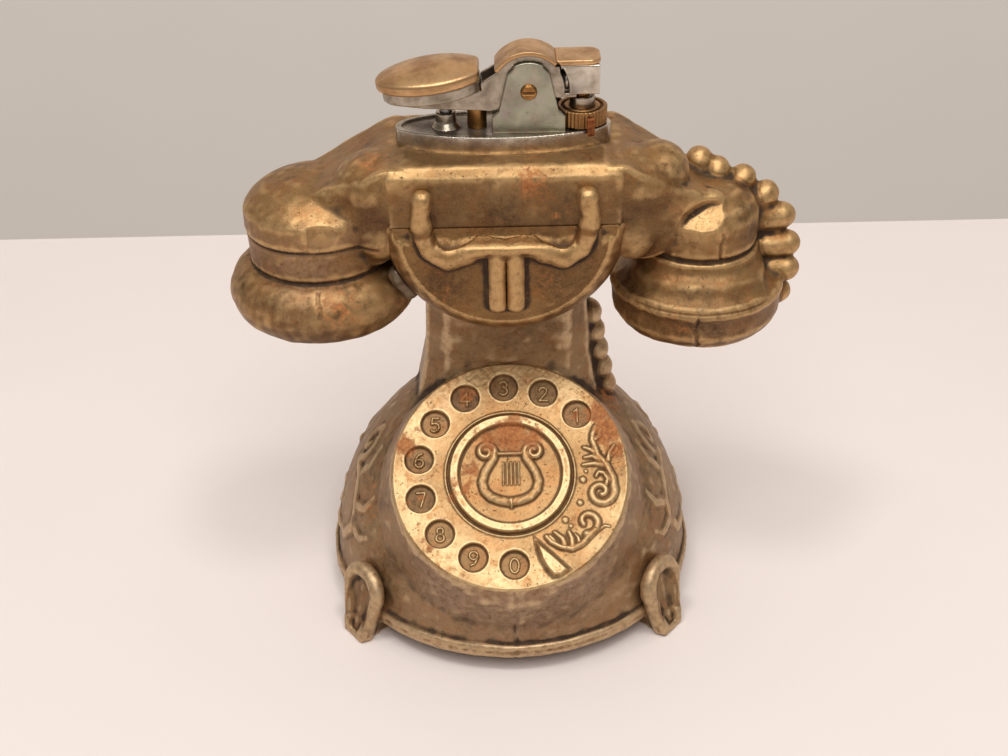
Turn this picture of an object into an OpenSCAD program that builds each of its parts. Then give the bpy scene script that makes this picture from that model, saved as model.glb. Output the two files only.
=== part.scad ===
// Table lighter in the shape of an antique dial telephone: a hollow cast bell base with a raised dial,
// a column and cradle, a cast handset, and a drop-in gas lighter unit with a thumb lever in the grip.
// Millimetres. The origin is on the table, midway between the object's sides. The dial faces -Y, +Z is up.

/* [Base] */
// Radius of the bell just above its rim
bell_r = 41.8; // [40:0.2:46]
// Height of the bell's crown above the rim's underside
bell_h = 47; // [44:0.5:50]
// Wall of the bell at its skirt
bell_wall = 3.4; // [2.4:0.1:4.5]
// Height of the rim's underside above the table
rim_lift = 4; // [2.5:0.1:6]
// Height of the rim moulding
rim_h = 3.8; // [3:0.1:5]
// How far the rim moulding stands out from the bell
rim_proud = 1.2; // [0.6:0.1:2]
// Width of each foot
foot_w = 13.5; // [11:0.5:15]
// Angle of each foot from the bell's left-right axis
foot_angle = 39; // [36:0.5:46]
// Height of each foot, from the table to the top of its scroll
foot_h = 19; // [16:0.5:22]
// How far each toe reaches past the rim
foot_reach = 4.6; // [3:0.1:5]
// Radius of the roll that edges each foot
foot_roll_r = 1.8; // [1.4:0.1:2.2]

/* [Dial] */
// Radius of the dial plate
dial_r = 25.8; // [24:0.1:27]
// Thickness of the dial plate
dial_t = 2.4; // [2:0.1:3.2]
// Elevation of the dial's outward normal above the horizontal
dial_elevation = 54; // [50:0.5:58]
// Distance of the dial's centre in front of the bell's axis
dial_front = 25; // [23:0.5:27]
// Height of the dial's centre above the table
dial_z = 41.8; // [40:0.2:43]
// Flare of the drum behind the dial, per side
drum_flare = 20; // [14:0.5:24]
// Radius of each finger well
well_r = 3.15; // [2.4:0.05:3.5]
// Depth of each finger well
well_depth = 1.2; // [0.6:0.1:1.6]
// Distance from the dial's centre to the wells' centres
well_pitch = 20.1; // [18.5:0.1:20.5]
// Outer radius of the raised ring round the medallion
ring_r = 13.2; // [12.4:0.1:14]
// Width of the raised ring
ring_w = 2; // [1.2:0.1:2.6]
// Height of the raised ring above the dial
ring_proud = 1.3; // [0.6:0.1:2]
// Height of the lyre's relief above the medallion
lyre_relief = 1.1; // [0.6:0.1:1.6]

/* [Column and cradle] */
// Width of the column
column_w = 36; // [32:0.5:38]
// Depth of the column
column_d = 25; // [22:0.5:27]
// Distance of the column's axis behind the bell's axis
column_back = 8; // [7:0.5:10]
// Corner bevel of the column
column_bevel = 5; // [3:0.5:7]
// Radius of the cradle's half-round side
cradle_r = 25.6; // [24:0.5:27]
// Depth of the cradle, front to back
cradle_d = 34; // [30:0.5:38]
// Thickness of the fork rods in relief on the cradle
fork_t = 3.2; // [2:0.1:4]

/* [Handset] */
// Height of the grip's underside above the table
grip_z = 96.5; // [95:0.5:99]
// Height of the grip
grip_h = 12.7; // [11:0.1:14]
// Depth of the grip, front to back
grip_d = 31; // [29:0.5:34]
// Length of the grip's flat top
grip_l = 45; // [44:0.5:47]
// Bevel along the grip's top edges
grip_bevel = 2; // [1:0.1:3]
// Distance of the earpiece's axis from the bell's axis
ear_x = 39.6; // [38:0.2:42]
// Radius of the earpiece's cap
ear_cap_r = 15.5; // [14:0.1:17]
// Radius of the earpiece's rounded rim
ear_rim_r = 20.2; // [18:0.1:21]
// Distance of the mouthpiece's axis from the bell's axis
mouth_x = 41.5; // [40:0.2:43]
// Radius of the mouthpiece's cap
mouth_cap_r = 12.4; // [11:0.1:14]
// Radius of the mouthpiece's flared rim
mouth_rim_r = 18.8; // [17:0.1:20]
// How far the earpiece's underside hangs below the grip's underside
ear_drop = 26.7; // [25.5:0.1:27.5]
// How far the mouthpiece's underside hangs below the grip's underside
mouth_drop = 29; // [27.5:0.1:30.5]
// Radius of the beads of the cast cord
bead_r = 2.8; // [2.2:0.1:3.2]

/* [Lighter unit] */
// Length of the oval deck plate
deck_l = 44; // [43:0.2:46]
// Width of the oval deck plate
deck_w = 15.6; // [15:0.2:17]
// Height of the deck plate
deck_h = 3.3; // [3:0.1:4]
// How far the deck reaches past the tank at each end
deck_lip = 2; // [1.8:0.1:3]
// Width of the deck's raised edge
deck_edge = 1.2; // [0.8:0.1:1.4]
// Width of the gas tank
tank_w = 13.4; // [12.8:0.1:13.6]
// Height of the gas tank
tank_h = 21; // [18:0.5:21.5]
// Wall of the gas tank
tank_wall = 0.8; // [0.5:0.1:1.2]
// Clearance round the tank in its well
tank_gap = 0.4; // [0.3:0.1:0.5]
// Distance of the burner's valve from the tank's end wall
valve_gap = 1; // [0.8:0.1:1.2]
// Height of the lever's pivot above the deck
pivot_h = 8.2; // [7.8:0.1:8.6]
// Radius of the pivot screw's shank
pivot_r = 1.2; // [1:0.05:1.4]
// Outer width over the bracket's two sides
bracket_w = 9; // [8.8:0.1:9.2]
// Length of the bracket's foot
bracket_l = 14.8; // [14:0.1:15]
// Thickness of the bracket's sheet
bracket_t = 0.8; // [0.7:0.05:0.85]

/* [Lever] */
// Outer width of the lever's channel
lever_w = 6.6; // [6.4:0.1:6.8]
// Thickness of the lever's sheet
lever_t = 0.7; // [0.6:0.05:0.75]
// Length of the thumb pad
pad_l = 21; // [19:0.2:22]
// Width of the thumb pad
pad_w = 17; // [14:0.2:18]
// Height of the thumb pad's crown
pad_h = 4.2; // [3.4:0.1:4.6]
// Depth of the tray under the thumb pad
tray_h = 2.4; // [2:0.1:2.6]
// Slope of the thumb pad down to its tip
pad_slope = 7; // [6:0.5:8]
// Outer radius of the wheel cover about the pivot
cover_r = 8.1; // [8:0.1:8.4]
// Thickness of the wheel cover
cover_t = 0.9; // [0.6:0.05:1]
// Length of the snuffer box
snuffer_l = 8.5; // [8.4:0.1:8.8]
// Width of the snuffer box
snuffer_w = 7.6; // [7.4:0.1:8]
// Height of the snuffer box's wall
snuffer_h = 6.1; // [6:0.1:6.3]

/* [Burner] */
// Distance of the burner's axis to the right of the pivot
burner_x = 10.9; // [10.8:0.1:11]
// Radius of the burner's jet tube
jet_r = 1.5; // [1.2:0.05:1.7]
// Radius of the valve's body below the deck
valve_r = 2.1; // [1.9:0.05:2.2]
// Radius of the valve's neck above the deck
neck_r = 2.6; // [2.4:0.05:2.8]
// Outer radius of the flame adjuster
adjuster_r = 5.2; // [4.8:0.1:5.5]
// Height of the flame adjuster
adjuster_h = 3.4; // [2.8:0.1:3.8]
// Number of grooves round the flame adjuster
adjuster_grooves = 40; // [24:1:48]

/* [Wheel and flint] */
// Radius of the spark wheel
wheel_r = 4.2; // [3.8:0.05:4.5]
// Width of the spark wheel
wheel_w = 2.8; // [2.4:0.1:3.2]
// Number of teeth on the spark wheel
wheel_teeth = 32; // [24:1:40]
// Radius of the flint
flint_r = 1.25; // [1.1:0.05:1.4]
// Length of the flint
flint_l = 5; // [3:0.1:6]
// Wall of the flint tube
flint_wall = 0.7; // [0.5:0.05:0.8]

/* [Return spring] */
// Distance of the return plunger to the left of the pivot
plunger_x = 16.8; // [16:0.1:17.5]
// Radius of the return plunger
plunger_r = 1.2; // [1:0.05:1.4]
// Wall of the plunger's guide
guide_wall = 0.9; // [0.7:0.05:1.1]
// Distance of the stop post to the left of the pivot
stop_x = 10.5; // [10:0.1:11]
// Radius of the stop post
stop_r = 2; // [1.6:0.1:2.3]

/* [Fits] */
// Running clearance between a shaft and its bore, in radius
run_gap = 0.05; // [0.02:0.01:0.08]
// Clearance between separate bodies
free_gap = 0.3; // [0.2:0.05:0.4]

/* [Hidden] */
$fn = 48;
eps = 0.01;
gold = "#9c7f4c";
bright_gold = "#c09a66";
nickel = "#b9b6ad";
brass = "#b08d4e";
steel = "#8d8a84";
// Heights above the table
grip_top = grip_z + grip_h;
ear_z = grip_z - ear_drop;
mouth_z = grip_z - mouth_drop;
deck_z = grip_top + deck_h;
pivot_z = deck_z + pivot_h;
tank_z = grip_top - tank_h;
// The bell's outline is a quarter of a rounded, squarer ellipse
bell_power = 2.15;
bell_steps = 14;
// The dial's plate lies in a shallow seat on the drum
dial_seat = 1.4;
drum_l = 34;
// How far each foot's shield leans in at its top, and how deep it is
foot_lean = 12;
foot_depth = 9;
// How far each shield's face stands before the middle of its roll
foot_face = 0.9;
// Ten wells at even steps, the first at the upper right
well_start = 48;
well_step = 25.5;
// The medallion lies inside the ring, over a shallow recess
medallion_r = ring_r - ring_w - 0.1;
medallion_t = 0.8;
groove_w = 0.7;
groove_depth = 0.7;
// The lever's channel and what stands on it, relative to the pivot
web_x = -9.7;
web_z = 2.35;
web_l = 17;
channel_bottom = -4.3;
tank_l = deck_l - 2 * deck_lip;
burner_at = tank_l / 2 - tank_wall - valve_r - valve_gap;
pivot_x = burner_at - burner_x;
plunger_at = pivot_x - plunger_x;
stop_at = pivot_x - stop_x;
snuffer_at = pivot_x + 5.7;
snuffer_z = pivot_z - 1;
cap_t = 1.05;
filler_at = -0.225 * tank_l;
valve_reach = 7;
// Height of the valve's neck and of the jet's tip above the deck's top, and the flange's depth below that tip
neck_h = 6.4;
jet_h = 10.4;
jet_tip = 2.9;
// Height of the jet's bore above its closed end
jet_floor = 3;
// How far the plunger's guide goes down into the tank and up past the deck, and its floor
guide_deep = 9;
guide_proud = 2.8;
guide_floor = 1;
rivet_x = 3.9;
rivet_r = 0.7;
// Length of a cut that only has to pass through
through = 60;
// Where the middle of the object's outline lies, from the bell's axis
centre_x = 2.1;
centre_y = -1.4;

// Radius of the bell at a height above the rim's underside, for a given radius and crown height
function bell_at(t, r, h) = r * pow(1 - pow(t, bell_power), 1 / bell_power);
function bell_points(r, h) = [for (i = [0:bell_steps])
    let (t = sin(90 * i / bell_steps)) [i == bell_steps ? 0 : bell_at(t, r, h), t * h]];
function rad(a, r) = [r * sin(a), r * cos(a)];

// Moves its children so that the whole object stands centred on the table
module on_table() {
    translate([-centre_x, -centre_y, 0]) children();
}

// A filled dome with a flat underside
module dome(r, h) {
    rotate_extrude($fn = 64) polygon(concat([[0, 0]], bell_points(r, h)));
}

// An oval outline, used by the deck, the tank and their seats
module oval(l, w) {
    scale([1, w / l]) circle(d = l, $fn = 64);
}

// Places its children on the dial, with Z along the dial's outward normal and Y up the dial
module on_dial() {
    translate([0, -dial_front, dial_z]) rotate([90 - dial_elevation, 0, 0]) children();
}

// Extrudes a drawing of X and Z along Y, centred on the given place
module along_y(l, y = 0) {
    translate([0, y + l / 2, 0]) rotate([90, 0, 0]) linear_extrude(l) children();
}

// A bevelled rectangle
module bevelled(w, d, b) {
    polygon([[-w / 2 + b, -d / 2], [w / 2 - b, -d / 2], [w / 2, -d / 2 + b], [w / 2, d / 2 - b],
        [w / 2 - b, d / 2], [-w / 2 + b, d / 2], [-w / 2, d / 2 - b], [-w / 2, -d / 2 + b]]);
}

// The bell's solid outline with its drum, without the hollow
module bell_solid() {
    translate([0, 0, rim_lift]) dome(bell_r, bell_h);
    translate([0, 0, rim_lift]) rim_moulding();
    drum();
}

// Two rounded fillets with a groove above them
module rim_moulding() {
    rotate_extrude($fn = 64) {
        translate([bell_r - 2, 0]) square([2 + rim_proud - rim_h / 4, rim_h]);
        translate([bell_r + rim_proud - rim_h / 4, rim_h / 4]) circle(d = rim_h / 2, $fn = 24);
        translate([bell_r + rim_proud - rim_h / 4, rim_h * 3 / 4]) circle(d = rim_h / 2, $fn = 24);
        translate([bell_r - 2, 0]) square([2 + rim_proud - rim_h / 8, rim_h * 3 / 4]);
    }
}

// A cone behind the dial that flares down into the bell, cut off at the rim
module drum() {
    intersection() {
        on_dial() translate([0, 0, -drum_l - dial_t + dial_seat])
            cylinder(r1 = dial_r + drum_l * tan(drum_flare), r2 = dial_r, h = drum_l, $fn = 64);
        translate([0, 0, rim_lift + eps])
            cylinder(r1 = bell_r + rim_proud / 2, r2 = bell_r + 8, h = 90, $fn = 64);
        translate([-60, -60, rim_lift]) cube([120, 60 + column_back, 90]);
    }
}

// The column, widening a little towards the bell
module column() {
    foot_z = dial_z;
    hull() {
        translate([0, column_back, grip_z - cradle_r + 8]) linear_extrude(1)
            bevelled(column_w - 1, column_d - 1, column_bevel);
        translate([0, column_back, foot_z + 14]) linear_extrude(1)
            bevelled(column_w + 1, column_d, column_bevel);
    }
    hull() {
        translate([0, column_back, foot_z + 14]) linear_extrude(1)
            bevelled(column_w + 1, column_d, column_bevel);
        translate([0, column_back, foot_z - 6]) linear_extrude(1)
            bevelled(column_w + 9, column_d + 8, column_bevel + 3);
    }
}

// The cast cord's beads down the right of the column
module column_beads() {
    for (i = [0:5]) translate([column_w / 2 + 0.6 + i * 0.9, column_back - 3, 64.6 - i * 4.8])
        sphere(r = bead_r + 0.3, $fn = 20);
}

module base_casting() {
    color(gold) on_table() difference() {
        union() {
            bell_solid();
            column();
            column_beads();
        }
        translate([0, 0, rim_lift - eps]) dome(bell_r - bell_wall, bell_h - bell_wall - 3);
        translate([0, column_back, 0])
            cylinder(r1 = 14, r2 = column_d / 2 - 4, h = grip_z - cradle_r + 10);
        on_dial() translate([0, 0, -dial_t]) cylinder(r = dial_r - 1.2, h = 20, $fn = 64);
        on_dial() translate([0, 0, dial_seat - dial_t]) cylinder(r = dial_r, h = 20, $fn = 64);
        cradle_body();
    }
}

// One foot, X outwards from the bell's axis: a leaning shield edged with a roll, above a toe
module foot() {
    toe = bell_r + rim_proud + foot_reach;
    toe_w = foot_w * 0.36;
    ring_y = foot_w / 2 - foot_roll_r;
    arch_z = foot_h - foot_w / 2 - 0.4;
    translate([toe - foot_roll_r, 0, 0]) rotate([0, -foot_lean, 0]) {
        translate([0, 0, arch_z]) rotate([90, 0, 90]) rotate_extrude(angle = 180, $fn = 48)
            translate([ring_y, 0]) circle(r = foot_roll_r, $fn = 24);
        for (s = [-1, 1]) rod([0, s * toe_w / 2, 0.5], [0, s * ring_y, arch_z], foot_roll_r);
        translate([-foot_depth, 0, 0]) rotate([90, 0, 90]) linear_extrude(foot_depth + foot_face) {
            polygon([[-toe_w / 2, -2], [toe_w / 2, -2], [ring_y, arch_z], [-ring_y, arch_z]]);
            translate([0, arch_z]) circle(r = ring_y, $fn = 48);
        }
    }
    translate([toe - foot_roll_r - 3.4, -toe_w / 2 - 0.9, 0]) cube([4.8, toe_w + 1.8, 1.6]);
}

// Places its children at the four feet, X outwards
module at_feet() {
    for (a = [foot_angle, 180 - foot_angle, 180 + foot_angle, -foot_angle]) rotate([0, 0, a]) children();
}

module scroll_feet() {
    color(gold) on_table() difference() {
        at_feet() foot();
        bell_solid();
        translate([0, 0, -eps]) cylinder(r = bell_r - 3, h = rim_lift + 2 * eps, $fn = 64);
        translate([-60, -60, -20]) cube([120, 120, 20]);
    }
}

// The dial plate with its finger wells, raised ring and finger stop
module dial_plate() {
    color(gold) on_table() on_dial() difference() {
        union() {
            translate([0, 0, -dial_t + dial_seat])
                cylinder(r = dial_r, h = dial_t - dial_seat, $fn = 64);
            translate([0, 0, -dial_t]) cylinder(r = dial_r - 1.2, h = dial_t, $fn = 64);
            cylinder(r = ring_r, h = ring_proud, $fn = 64);
            finger_stop();
        }
        translate([0, 0, -groove_depth]) difference() {
            cylinder(r = ring_r + groove_w, h = groove_depth + eps, $fn = 64);
            translate([0, 0, -eps]) cylinder(r = ring_r, h = groove_depth + 3 * eps, $fn = 64);
        }
        translate([0, 0, -medallion_t]) cylinder(r = medallion_r + 0.1, h = 6, $fn = 64);
        for (i = [0:9]) translate(concat(rad(well_start - well_step * i, well_pitch), -well_depth))
            cylinder(r = well_r, h = 4, $fn = 32);
    }
}

// A wedge that points in from the dial's edge, between the last well and the scrollwork
module finger_stop() {
    stop_r1 = ring_r + groove_w + 0.6;
    stop_r2 = dial_r - 1.4;
    linear_extrude(1.2) polygon([rad(161, stop_r1), rad(163.5, stop_r2), rad(152, stop_r2)]);
}

// A plain round medallion with a lyre in relief
module lyre_medallion() {
    color(gold) on_table() on_dial() union() {
        translate([0, 0, -medallion_t]) cylinder(r = medallion_r, h = medallion_t, $fn = 64);
        linear_extrude(lyre_relief) lyre();
    }
}

// The lyre's frame: a bowl, two arms that curl outwards, a crossbar and four strings
module lyre() {
    bowl_r = medallion_r * 0.48;
    arm = bowl_r * 0.26;
    translate([0, -bowl_r * 0.45]) difference() {
        circle(r = bowl_r);
        circle(r = bowl_r - arm);
        translate([-bowl_r, bowl_r * 0.35]) square(2 * bowl_r);
    }
    for (s = [-1, 1]) {
        polygon([[s * bowl_r * 0.94, -bowl_r * 0.1], [s * bowl_r * 0.66, -bowl_r * 0.1],
            [s * bowl_r * 0.42, bowl_r * 0.95], [s * bowl_r * 0.66, bowl_r * 1.05]]);
        translate([s * bowl_r * 0.86, bowl_r * 1.02]) difference() {
            circle(r = bowl_r * 0.44, $fn = 32);
            circle(r = bowl_r * 0.2, $fn = 32);
        }
    }
    translate([-bowl_r * 0.6, bowl_r * 0.78]) square([bowl_r * 1.2, bowl_r * 0.16]);
    for (i = [-1.5:1:1.5])
        translate([i * bowl_r * 0.2 - 0.12, -bowl_r * 0.6]) square([0.24, bowl_r * 1.4]);
    translate([0, -bowl_r * 1.5]) rotate(45) square(bowl_r * 0.42, center = true);
}

// A half-round bowl with rounded edges, under the grip
module cradle_body() {
    round_r = 7;
    intersection() {
        translate([0, 0, grip_z]) rotate([90, 0, 0]) rotate_extrude($fn = 64) {
            square([cradle_r - round_r, cradle_d / 2]);
            square([cradle_r, cradle_d / 2 - round_r]);
            translate([cradle_r - round_r, cradle_d / 2 - round_r]) circle(r = round_r);
            mirror([0, 1]) square([cradle_r - round_r, cradle_d / 2]);
            mirror([0, 1]) square([cradle_r, cradle_d / 2 - round_r]);
            translate([cradle_r - round_r, round_r - cradle_d / 2]) circle(r = round_r);
        }
        translate([-60, -60, 0]) cube([120, 120, grip_z]);
    }
}

module cradle_casting() {
    color(gold) on_table() difference() {
        union() {
            cradle_body();
            fork();
        }
        tank_well(tank_z - 3.5);
        translate([-ear_x, 0, 0]) ear_cup();
        translate([-grip_l / 2, -grip_d / 2, grip_z]) cube([grip_l, grip_d, grip_h]);
    }
}

// The fork in relief on the cradle's front: two upright prongs, a wavy bar and a split stem
module fork() {
    front = -cradle_d / 2;
    half = [[16.4, 7], [17.2, 1.6], [15.4, -4.2], [11.8, -6.6], [7.6, -4.4], [3.6, -3.4], [0, -4]];
    for (s = [-1, 1]) {
        for (i = [0:len(half) - 2]) rod([s * half[i][0], front, grip_z + half[i][1]],
            [s * half[i + 1][0], front, grip_z + half[i + 1][1]], fork_t / 2);
        translate([s * half[0][0], front, grip_z + half[0][1]]) sphere(r = fork_t * 0.62, $fn = 24);
        translate([s * 1.9, front - 0.2, grip_z - 18]) cylinder(r = 1.5, h = 13, $fn = 24);
    }
}

// A round rod between two points, with a knuckle a little thicker than itself at the far end
module rod(a, b, r) {
    d = b - a;
    l = norm(d);
    translate(a) rotate([0, acos(d[2] / l), atan2(d[1], d[0])]) cylinder(r = r, h = l, $fn = 24);
    translate(b) sphere(r = r * 1.04, $fn = 24);
}

// The opening that the tank hangs in
module tank_well(bottom) {
    translate([0, 0, bottom]) linear_extrude(grip_top - bottom + 5)
        oval(tank_l + 2 * tank_gap, tank_w + 2 * tank_gap);
}

// The bevelled grip
module grip() {
    hull() {
        translate([0, 0, grip_z]) linear_extrude(grip_h - grip_bevel)
            square([grip_l + 2, grip_d], center = true);
        translate([0, 0, grip_top - 1]) linear_extrude(1)
            square([grip_l - 4, grip_d - 2 * grip_bevel], center = true);
    }
}

// A rounded shoulder that falls from the grip's end to a cup's crown and fills the corner above the cradle
module shoulder(side, x1, x2, z2, x3) {
    hull() {
        translate([side * x1, 0, grip_z + grip_h / 2 + 0.3]) rotate([90, 0, 0])
            cylinder(r = grip_h / 2 - 0.6, h = grip_d - 2, center = true, $fn = 32);
        translate([side * x2, 0, z2 - 5]) rotate([90, 0, 0])
            cylinder(r = 5, h = 18, center = true, $fn = 32);
        translate([side * x3, 0, grip_z - 7]) rotate([90, 0, 0])
            cylinder(r = 4, h = grip_d - 10, center = true, $fn = 32);
    }
}

// Both shoulders, shaped to the cradle where they meet it
module shoulders() {
    difference() {
        union() {
            shoulder(-1, grip_l / 2, ear_x - 2, grip_top - 7, 27);
            shoulder(1, grip_l / 2, mouth_x - 3, grip_top - 9, 29);
        }
        cradle_body();
    }
}

// The earpiece: a rounded rim, a plain band and a domed cap
module ear_cup() {
    rotate_extrude($fn = 64) {
        translate([0, ear_z]) square([ear_rim_r - 5.5, 14.5]);
        translate([ear_rim_r - 7, ear_z + 7]) circle(r = 7);
        translate([0, ear_z + 14.5]) square([ear_cap_r - 0.4, 6.4]);
        translate([0, ear_z + 20.9]) square([ear_cap_r - 0.7, 0.6]);
        translate([0, ear_z]) polygon([[0, 21.5], [ear_cap_r, 21.5], [ear_cap_r, 26.4],
            [ear_cap_r - 1.2, 28], [ear_cap_r - 4.5, 30.6], [ear_cap_r - 9, 32.2], [0, 33]]);
    }
}

// The mouthpiece: a disc, a concave flare and a domed cap
module mouth_cup() {
    flare_r = mouth_rim_r - mouth_cap_r;
    disc_h = 8.8;
    rotate_extrude($fn = 64) translate([0, mouth_z]) {
        polygon([[0, 0], [mouth_rim_r - 2.4, 0], [mouth_rim_r - 0.6, 2.6], [mouth_rim_r - 0.4, 7.6],
            [mouth_rim_r, 8], [mouth_rim_r, disc_h], [0, disc_h]]);
        difference() {
            translate([0, disc_h]) square([mouth_rim_r - 0.4, flare_r + 2.6]);
            translate([mouth_rim_r + 1.2, disc_h + flare_r + 1.6]) circle(r = flare_r + 1);
        }
        translate([0, 11]) square([mouth_cap_r - 0.8, 7.6]);
        polygon([[0, 18.2], [mouth_cap_r - 0.6, 18.2], [mouth_cap_r, 19.2], [mouth_cap_r, 25.4],
            [mouth_cap_r - 1.4, 28], [mouth_cap_r - 4.6, 30.4], [0, 31.4]]);
    }
}

// The cast cord's beads, over the mouthpiece's cap and down outside it
module handset_beads() {
    beads = [[0, 6, 33.5], [3.7, 5, 31.6], [9.3, 4, 30.1], [14.3, 3, 26.8], [18.1, 2, 21.8],
        [19.6, 1, 15.7], [19.7, 0, 10.1], [18.3, 0.4, 4.3]];
    for (b = beads) translate([mouth_x + b[0], b[1], mouth_z + b[2]]) sphere(r = bead_r, $fn = 20);
    // The web of metal between the beads and the cup
    web_r = mouth_rim_r - 1;
    translate([mouth_x, 1, mouth_z + 9]) rotate([90, 0, 0]) linear_extrude(bead_r, center = true)
        polygon([[0, 0], [web_r, 0], [web_r, web_r / 2], [web_r - 2, web_r * 0.78],
            [web_r * 0.56, web_r * 1.12], [0, web_r * 1.18]]);
}

module handset_casting() {
    color(gold) on_table() difference() {
        union() {
            grip();
            shoulders();
            translate([-ear_x, 0, 0]) ear_cup();
            translate([mouth_x, 0, 0]) mouth_cup();
            handset_beads();
        }
        tank_well(grip_z - 1);
        translate([0, 0, grip_top - 0.5]) linear_extrude(3)
            oval(deck_l + 2 * free_gap, deck_w + 2 * free_gap);
    }
}

// A rough run of solder between the earpiece and the cradle
module solder_joint() {
    color("silver") on_table() difference() {
        hull() {
            translate([-22.6, -11, grip_z - 12.5]) sphere(r = 2.2, $fn = 16);
            translate([-20.6, -9, grip_z - 17.5]) sphere(r = 1.8, $fn = 16);
        }
        translate([-ear_x, 0, 0]) ear_cup();
        cradle_body();
    }
}

// The oval deck with a raised edge, and a spigot that locates it in the well
module deck_plate() {
    color(nickel) on_table() difference() {
        union() {
            translate([0, 0, grip_top - 0.5]) linear_extrude(deck_h + 0.5) oval(deck_l, deck_w);
            translate([0, 0, grip_top - 2]) linear_extrude(2) oval(tank_l, tank_w);
        }
        translate([0, 0, deck_z - 0.5]) linear_extrude(1) oval(deck_l - 2 * deck_edge, deck_w - 2 * deck_edge);
        translate([pivot_x, 0, 0]) cylinder(r = flint_r + run_gap + flint_wall, h = deck_z + through);
        translate([burner_at, 0, 0]) cylinder(r = valve_r, h = deck_z + through);
        translate([plunger_at, 0, 0]) cylinder(r = plunger_r + run_gap + guide_wall, h = deck_z + through);
        translate([stop_at, 0, deck_z - 2.5]) cylinder(r = stop_r - 0.6, h = 5);
        for (x = [pivot_x - rivet_x, pivot_x + rivet_x])
            translate([x, 0, grip_top]) cylinder(r = rivet_r, h = through, $fn = 24);
    }
}

module gas_tank() {
    color(steel) on_table() difference() {
        translate([0, 0, tank_z]) linear_extrude(tank_h - 2) oval(tank_l, tank_w);
        translate([0, 0, tank_z + tank_wall]) linear_extrude(tank_h)
            oval(tank_l - 2 * tank_wall, tank_w - 2 * tank_wall);
        translate([pivot_x, 0, 0]) cylinder(r = flint_r + run_gap + flint_wall, h = deck_z + through);
        translate([filler_at, 0, 0]) cylinder(r = 1.9, h = deck_z + through);
    }
}

// The filling valve in the tank's floor, with a collar inside
module filler_body() {
    color(brass) on_table() translate([filler_at, 0, tank_z]) difference() {
        union() {
            translate([0, 0, -1]) cylinder(r = 3, h = 1);
            cylinder(r = 1.9, h = 8);
            translate([0, 0, tank_wall]) cylinder(r = 2.8, h = 1.2);
        }
        translate([0, 0, -2]) cylinder(r = 0.7 + run_gap, h = 12);
        translate([0, 0, 1]) cylinder(r = 1.3, h = 6);
    }
}

module filler_stem() {
    color(steel) on_table() translate([filler_at, 0, tank_z]) union() {
        translate([0, 0, -1.6]) cylinder(r = 0.7, h = 5.6);
        translate([0, 0, 1.3]) cylinder(r = 1.1, h = 0.8);
    }
}

module filler_spring() {
    color(steel) on_table() translate([filler_at, 0, tank_z]) difference() {
        translate([0, 0, 2.1]) cylinder(r = 1.15, h = 4.9);
        translate([0, 0, 2]) cylinder(r = 0.85, h = 6);
    }
}

module flint_tube() {
    top = pivot_z - wheel_r - 0.9;
    color(brass) on_table() translate([pivot_x, 0, 0]) difference() {
        translate([0, 0, tank_z - 1]) cylinder(r = flint_r + run_gap + flint_wall, h = top - tank_z + 1);
        translate([0, 0, tank_z - 2]) cylinder(r = flint_r + run_gap, h = 60);
    }
}

module flint() {
    color("dimgray") on_table() translate([pivot_x, 0, pivot_z - wheel_r - free_gap - flint_l])
        cylinder(r = flint_r, h = flint_l);
}

module flint_spring() {
    bottom = tank_z + 6;
    top = pivot_z - wheel_r - free_gap - flint_l;
    color(steel) on_table() translate([pivot_x, 0, bottom]) difference() {
        cylinder(r = flint_r - 0.05, h = top - bottom);
        translate([0, 0, -eps]) cylinder(r = flint_r - 0.4, h = top - bottom + 2 * eps);
    }
}

// A slotted screw that closes the flint tube from below
module flint_screw() {
    head_r = flint_r + run_gap + flint_wall + 0.5;
    color(brass) on_table() translate([pivot_x, 0, tank_z - 1]) difference() {
        union() {
            translate([0, 0, -1.4]) cylinder(r = head_r, h = 1.4);
            cylinder(r = flint_r, h = 7);
        }
        translate([-head_r - 1, -0.35, -2.4]) cube([2 * head_r + 2, 0.7, 1.7]);
    }
}

// Outline of the bracket's side, X from the pivot and Y up from the deck: a stepped foot and a domed top
module bracket_side() {
    top = pivot_h + 3.6;
    half = bracket_l / 2;
    difference() {
        union() {
            polygon([[-half, 0], [half, 0], [half, 3], [half - 1.4, 4.2], [4.2, top], [2.6, top + 1.6],
                [-2.6, top + 1.6], [-4.2, top], [1.4 - half, 4.2], [-half, 3]]);
            intersection() {
                translate([0, pivot_h]) circle(r = 6);
                translate([-2.9, pivot_h]) square([5.8, 8]);
            }
        }
        translate([0, pivot_h]) circle(r = pivot_r);
    }
}

// A channel bent from one sheet, open at the top
module bracket() {
    color(nickel) on_table() translate([pivot_x, 0, deck_z - 0.5]) difference() {
        union() {
            for (s = [-1, 1]) translate([0, 0, 0.5])
                along_y(bracket_t, s * (bracket_w - bracket_t) / 2) bracket_side();
            translate([-bracket_l / 2, -bracket_w / 2, 0]) cube([bracket_l, bracket_w, bracket_t]);
        }
        translate([0, 0, -1]) cylinder(r = flint_r + run_gap + flint_wall, h = bracket_t + 2);
        for (s = [-1, 1]) translate([s * rivet_x, 0, -1]) cylinder(r = rivet_r, h = bracket_t + 2, $fn = 24);
        translate([burner_x, 0, -1]) cylinder(r = adjuster_r + free_gap, h = bracket_t + 4);
    }
}

module bracket_rivets() {
    color(steel) on_table() for (x = [pivot_x - rivet_x, pivot_x + rivet_x]) translate([x, 0, grip_top]) {
        cylinder(r = rivet_r, h = deck_h - 0.5 + bracket_t, $fn = 24);
        translate([0, 0, deck_h - 0.5 + bracket_t])
            cylinder(r1 = rivet_r + 0.4, r2 = rivet_r, h = 0.5, $fn = 24);
    }
}

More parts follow.
